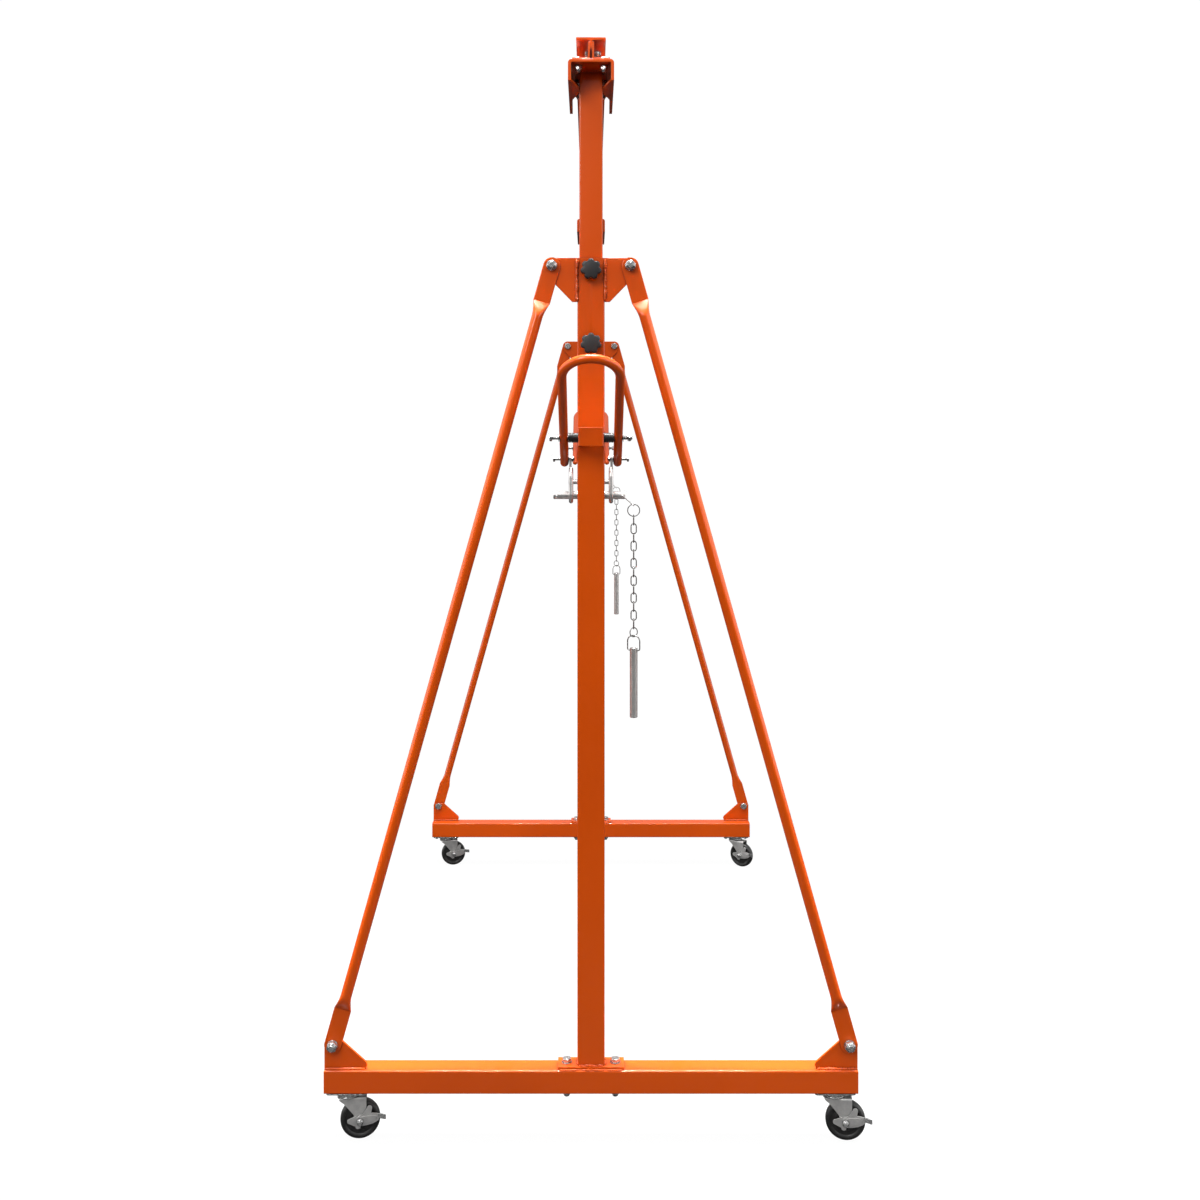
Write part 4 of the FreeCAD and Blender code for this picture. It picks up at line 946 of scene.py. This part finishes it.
def along_line(points, height):
    """Piecewise straight line through (height, value) pairs in millimetres."""
    for (z0, v0), (z1, v1) in zip(points, points[1:]):
        if height <= z1 * MM:
            return mix(v0, v1, max(0.0, (height / MM - z0) / (z1 - z0))) * MM
    return points[-1][1] * MM


def fork_path():
    """The yoke's centre line from foot to foot over the crown: y, z and the outward normal."""
    y, z = FORK_OUTER, CROWN_TOP
    path = []
    for i in range(FORK_LEG_STEPS):
        path.append((-y, mix(LEG_FOOT, z - FORK_BEND, i / (FORK_LEG_STEPS - 1)), -1.0, 0.0))
    for i in range(1, FORK_BEND_STEPS + 1):
        angle = math.pi / 2 * i / FORK_BEND_STEPS
        cos, sin = math.cos(angle), math.sin(angle)
        path.append((-y + FORK_BEND - FORK_BEND * cos, z - FORK_BEND + FORK_BEND * sin, -cos, sin))
    half = len(path)
    for i in range(1, 8):
        path.append((mix(-y + FORK_BEND, y - FORK_BEND, i / 8), z, 0.0, 1.0))
    return path + [(-a, b, -c, d) for a, b, c, d in reversed(path[:half])]


def fork_sheet():
    """The pressed yoke: one bent sheet with a stiffening fold pressed down each leg."""
    height, place, width = FOLD
    foot, rise = FOLD_START
    rings = []
    for y, z, ny, nz in fork_path():
        leg = abs(ny)
        rounded = -math.sqrt(max(CROWN_RADIUS ** 2 - y ** 2, 0.0))
        front = mix(rounded, along_line(LEG_FRONT, z), leg)
        back = along_line(LEG_BACK, z)
        outer, inner = [], []
        for i in range(FORK_ACROSS + 1):
            x = mix(front, back, i / FORK_ACROSS)
            fold = height * math.exp(-((x - place) / width) ** 2) * leg
            fold *= smoothstep((z - LEG_FOOT - foot) / rise)
            outer.append((x, y + ny * fold, z + nz * fold))
            inner.append((x, y + ny * (fold - FORK_SHEET), z + nz * (fold - FORK_SHEET)))
        rings.append(outer + inner[::-1])
    return loft(rings)


def fork_race():
    """Lower half of the swivel: a dished ring with a rolled rim under the black gap."""
    profile = [(0, 0), (0, 22 * MM), (0.6 * MM, 26 * MM), (2.2 * MM, CROWN_RADIUS), (4.6 * MM, CROWN_RADIUS),
               (6.0 * MM, 27 * MM), (7.2 * MM, 25 * MM), (7.2 * MM, 0)]
    return lathe(profile, (0, 0, CROWN_TOP), (0, 0, 1), steps=64)


def wheel_shape():
    """Moulded wheel: crowned tread, stepped rim rings on the sides and a raised hub."""
    profile = [(-along * MM, radius * MM) for radius, along in WHEEL_SIDE]
    profile += [(along * MM, radius * MM) for radius, along in reversed(WHEEL_SIDE[:-1])]
    return quads_only(lathe(profile, (TRAIL, 0, AXLE_Z), (0, 1, 0), steps=96))


def prism(points, out_low, out_high):
    """A flat outline about the axle, in millimetres, given a thickness along -Y."""
    rings = []
    for out in (out_low, out_high):
        rings.append([(TRAIL + x * MM, -out, AXLE_Z + z * MM) for x, z in points])
    return loft(rings)


def disc(x, z, radius, out_low, out_high):
    """A round ear about a point given in millimetres from the axle."""
    radius = radius / MM
    ring = [(x + radius * math.cos(angle), z + radius * math.sin(angle)) for angle in circle_angles(36)]
    return prism(ring, out_low, out_high)


def merged(shapes, name):
    """Boolean union of closed shapes, as one list of vertices and faces."""
    base = make_object(name, *shapes[0], PRESSED)
    for shape in shapes[1:]:
        apply_cut(base, make_object(f"{name}_tool", *shape, PRESSED), "UNION")
    verts = [tuple(v.co) for v in base.data.vertices]
    faces = [tuple(polygon.vertices) for polygon in base.data.polygons]
    bpy.data.objects.remove(base)
    return verts, faces


def brake_shape():
    """The foot brake: a pressed leaf with three ears, a raised panel and the bent tab for the shoe."""
    low, high = BRAKE_OUT, BRAKE_OUT + BRAKE_SHEET
    panel = [(20 + (x - 20) * 0.72, 5 + (z - 5) * 0.66) for x, z in BRAKE_LEAF]
    shapes = [prism(BRAKE_LEAF, low, high)]
    for step, outline in enumerate((BRAKE_HEEL, BRAKE_ARM), 2):
        shapes.append(prism(outline, low + step * BRAKE_STEP, high - step * BRAKE_STEP))
    for step, (x, z) in enumerate(BRAKE_EARS, 4):
        shapes.append(disc(x, z, BRAKE_EAR_RADIUS, low + step * BRAKE_STEP, high - step * BRAKE_STEP))
    shapes.append(prism(panel, low + BRAKE_PANEL[0], high + BRAKE_PANEL[1]))
    tab = []
    for z in BRAKE_TAB_Z:
        tab.append([(TRAIL + x * MM, -BRAKE_OUT - out * MM, AXLE_Z + z) for x, out in BRAKE_TAB])
    return merged(shapes, "brake_plate"), loft(tab)


def caster_mover(key):
    """Takes a shape from a caster's own coordinates, wheel trailing to +X, to its place."""
    place = Vector(JOINTS[f"{key}_swivel"]["pos_m"])
    axis = JOINTS[f"{key}_roll"]["axis"]
    turn = Matrix.Rotation(math.atan2(-axis[0], axis[1]), 3, "Z")

    def move(shape):
        return [turn @ Vector(v) + Vector((place.x, place.y, 0)) for v in shape[0]], shape[1]

    return move


def add_casters():
    """Yoke, swivel race, axle, wheel and foot brake of each of the four casters."""
    sheet, race, wheel = fork_sheet(), fork_race(), wheel_shape()
    plate, tab = brake_shape()
    nut_out = BRAKE_OUT + BRAKE_SHEET + BRAKE_NUT_GAP
    head, tip = FORK_OUTER + AXLE_HEAD_GAP, -FORK_OUTER - AXLE_REACH
    axle = join_parts([
        bolt(10, (TRAIL, head, AXLE_Z), (TRAIL, tip, AXLE_Z)),
        nut(10, (TRAIL, -nut_out, AXLE_Z), (0, -1, 0)),
    ])
    for side in SIDES:
        for hand in ("left", "right"):
            key = f"{side}_{hand}"
            move = caster_mover(key)
            fork, brake, cad_brake = f"{key}_fork", f"{key}_brake", [f"{key}_caster_brake"]
            yoke = put(f"{key}_yoke", move(sheet), PRESSED, fork, "zinc_plate", [f"{key}_caster_fork"], 34)
            soften_edges(yoke, 0.7 * MM)
            put(f"{key}_race", move(race), ZINC, fork, "zinc_plate")
            put(f"{key}_axle", move(axle), ZINC, fork, "zinc_plate", (), 28)
            put(f"{key}_wheel_moulding", move(wheel), RUBBER, f"{key}_wheel", "black_rubber",
                [f"{key}_caster_wheel"], 30)
            pedal = put(f"{key}_brake_leaf", move(plate), PRESSED, brake, "zinc_plate", cad_brake, 34)
            soften_edges(pedal, 0.6 * MM)
            foot = put(f"{key}_brake_tab", move(tab), ZINC, brake, "zinc_plate", (), 34)
            soften_edges(foot, 0.4 * MM)


# ---- build ----
finish_cad_nodes()
for side in SIDES:
    add_gussets(side)
    add_braces(side)
    add_knobs(side)
    add_inner_post(side)
    add_fasteners(side)
    add_spacers(side)
    add_welds(side)
add_casters()


# ---- stage, light and camera ----
WHITE = (1, 1, 1, 1)
BACKDROP = 1.02               # strength of the white seen behind the crane and far out on the floor
FLOOR_HALF = 30.0
FLOOR_IN_LIGHT = 0.035        # how light the floor is to all rays but the camera's
FLOOR_FADES = (0.93, 1.0)     # share of white near the crane and 2.4 m out
CAMERA_PLACE = (0.0, -4.246, 1.742)
CAMERA_LENS = 36.9
CAMERA_SHIFT = (0.0075, -0.115)


def add_floor():
    """A plain pale floor: a faint soft shadow under the crane, fading to white further out."""
    verts = [(x * FLOOR_HALF, y * FLOOR_HALF, 0) for x, y in ((-1, -1), (1, -1), (1, 1), (-1, 1))]
    n = Nodes("pale_floor")
    pale = n.ramp(n.noise(0.4, 2.0), (0.62, 0.62, 0.62), (0.66, 0.66, 0.66))
    rays = n.add("ShaderNodeLightPath").outputs["Is Camera Ray"]
    dark = (FLOOR_IN_LIGHT, FLOOR_IN_LIGHT, FLOOR_IN_LIGHT, 1)
    seen = n.add("ShaderNodeMix", {0: rays, 6: dark, 7: pale}, data_type="RGBA").outputs[2]
    n.set(Base_Color=seen, Roughness=0.8, Specular_IOR_Level=0.1)
    place = n.add("ShaderNodeTexCoord").outputs["Object"]
    reach = n.add("ShaderNodeVectorMath", {0: place}, operation="LENGTH").outputs["Value"]
    far = n.ramp(reach, *FLOOR_FADES, 1.0, 2.4)
    share = n.add("ShaderNodeMath", {0: far, 1: rays}, operation="MULTIPLY").outputs["Value"]
    white = n.add("ShaderNodeEmission", {"Color": WHITE, "Strength": BACKDROP}).outputs["Emission"]
    blend = n.add("ShaderNodeMixShader", {0: share, 1: n.shader.outputs["BSDF"], 2: white})
    n.tree.links.new(blend.outputs["Shader"], n.tree.nodes["Material Output"].inputs["Surface"])
    floor = make_object("pale_floor", verts, [(0, 1, 2, 3)], n.material)


def add_world():
    """White to the camera; otherwise a dark studio with white panels left and right and light overhead."""
    world = bpy.data.worlds.new("studio")
    bpy.context.scene.world = world
    world.use_nodes = True
    tree = world.node_tree
    tree.nodes.clear()
    place = add_node(tree, "ShaderNodeTexCoord").outputs["Generated"]
    direction = add_node(tree, "ShaderNodeSeparateXYZ", {"Vector": place}).outputs
    across = add_node(tree, "ShaderNodeMath", {0: direction["X"]}, operation="ABSOLUTE").outputs["Value"]
    panels = add_node(tree, "ShaderNodeMapRange", {
        "Value": across, "From Min": 0.76, "From Max": 0.88, "To Min": 0.05, "To Max": 2.0,
    }).outputs["Result"]
    overhead = add_node(tree, "ShaderNodeMapRange", {
        "Value": direction["Z"], "From Min": 0.0, "From Max": 0.8, "To Min": 0.05, "To Max": 0.9,
    }).outputs["Result"]
    light = add_node(tree, "ShaderNodeMath", {0: panels, 1: overhead}, operation="MAXIMUM").outputs["Value"]
    studio, backdrop = (
        add_node(tree, "ShaderNodeBackground", {"Color": WHITE, "Strength": strength}).outputs["Background"]
        for strength in (light, BACKDROP)
    )
    seen = add_node(tree, "ShaderNodeLightPath").outputs["Is Camera Ray"]
    mixed = add_node(tree, "ShaderNodeMixShader", {0: seen, 1: studio, 2: backdrop}).outputs["Shader"]
    add_node(tree, "ShaderNodeOutputWorld", {"Surface": mixed})


def add_softbox(name, place, target, size, power, spread=180.0):
    """A rectangular soft lamp; a small spread in degrees keeps its light in a narrow beam."""
    light = bpy.data.lights.new(name, "AREA")
    light.shape = "RECTANGLE"
    light.size, light.size_y = size
    light.energy = power
    light.spread = math.radians(spread)
    lamp = bpy.data.objects.new(name, light)
    bpy.context.scene.collection.objects.link(lamp)
    lamp.location = place
    lamp.rotation_euler = (Vector(target) - Vector(place)).to_track_quat("-Z", "Y").to_euler()


def add_camera():
    """Level, in front of the crane, looking along the beam."""
    camera = bpy.data.cameras.new("camera")
    camera.lens = CAMERA_LENS
    camera.sensor_width = 36.0
    camera.shift_x, camera.shift_y = CAMERA_SHIFT
    camera.dof.use_dof = False
    place = bpy.data.objects.new("camera", camera)
    bpy.context.scene.collection.objects.link(place)
    place.location = CAMERA_PLACE
    place.rotation_euler = Euler((math.radians(90), 0, 0))
    bpy.context.scene.camera = place


add_floor()
add_world()
add_softbox("key", (-2.2, -4.6, 4.3), (0, -0.8, 1.6), (1.6, 2.4), 118)
add_softbox("fill", (3.2, -4.2, 3.0), (0, -0.5, 1.4), (1.2, 2.6), 32)
add_softbox("top", (0.0, -1.6, 9.0), (0, -1.4, 0), (4.9, 4.9), 340)
add_softbox("drop", (0.0, -0.9, 9.0), (0, -0.9, 0), (2.9, 0.65), 115, spread=30)
add_camera()
bpy.context.scene.view_settings.view_transform = "Standard"
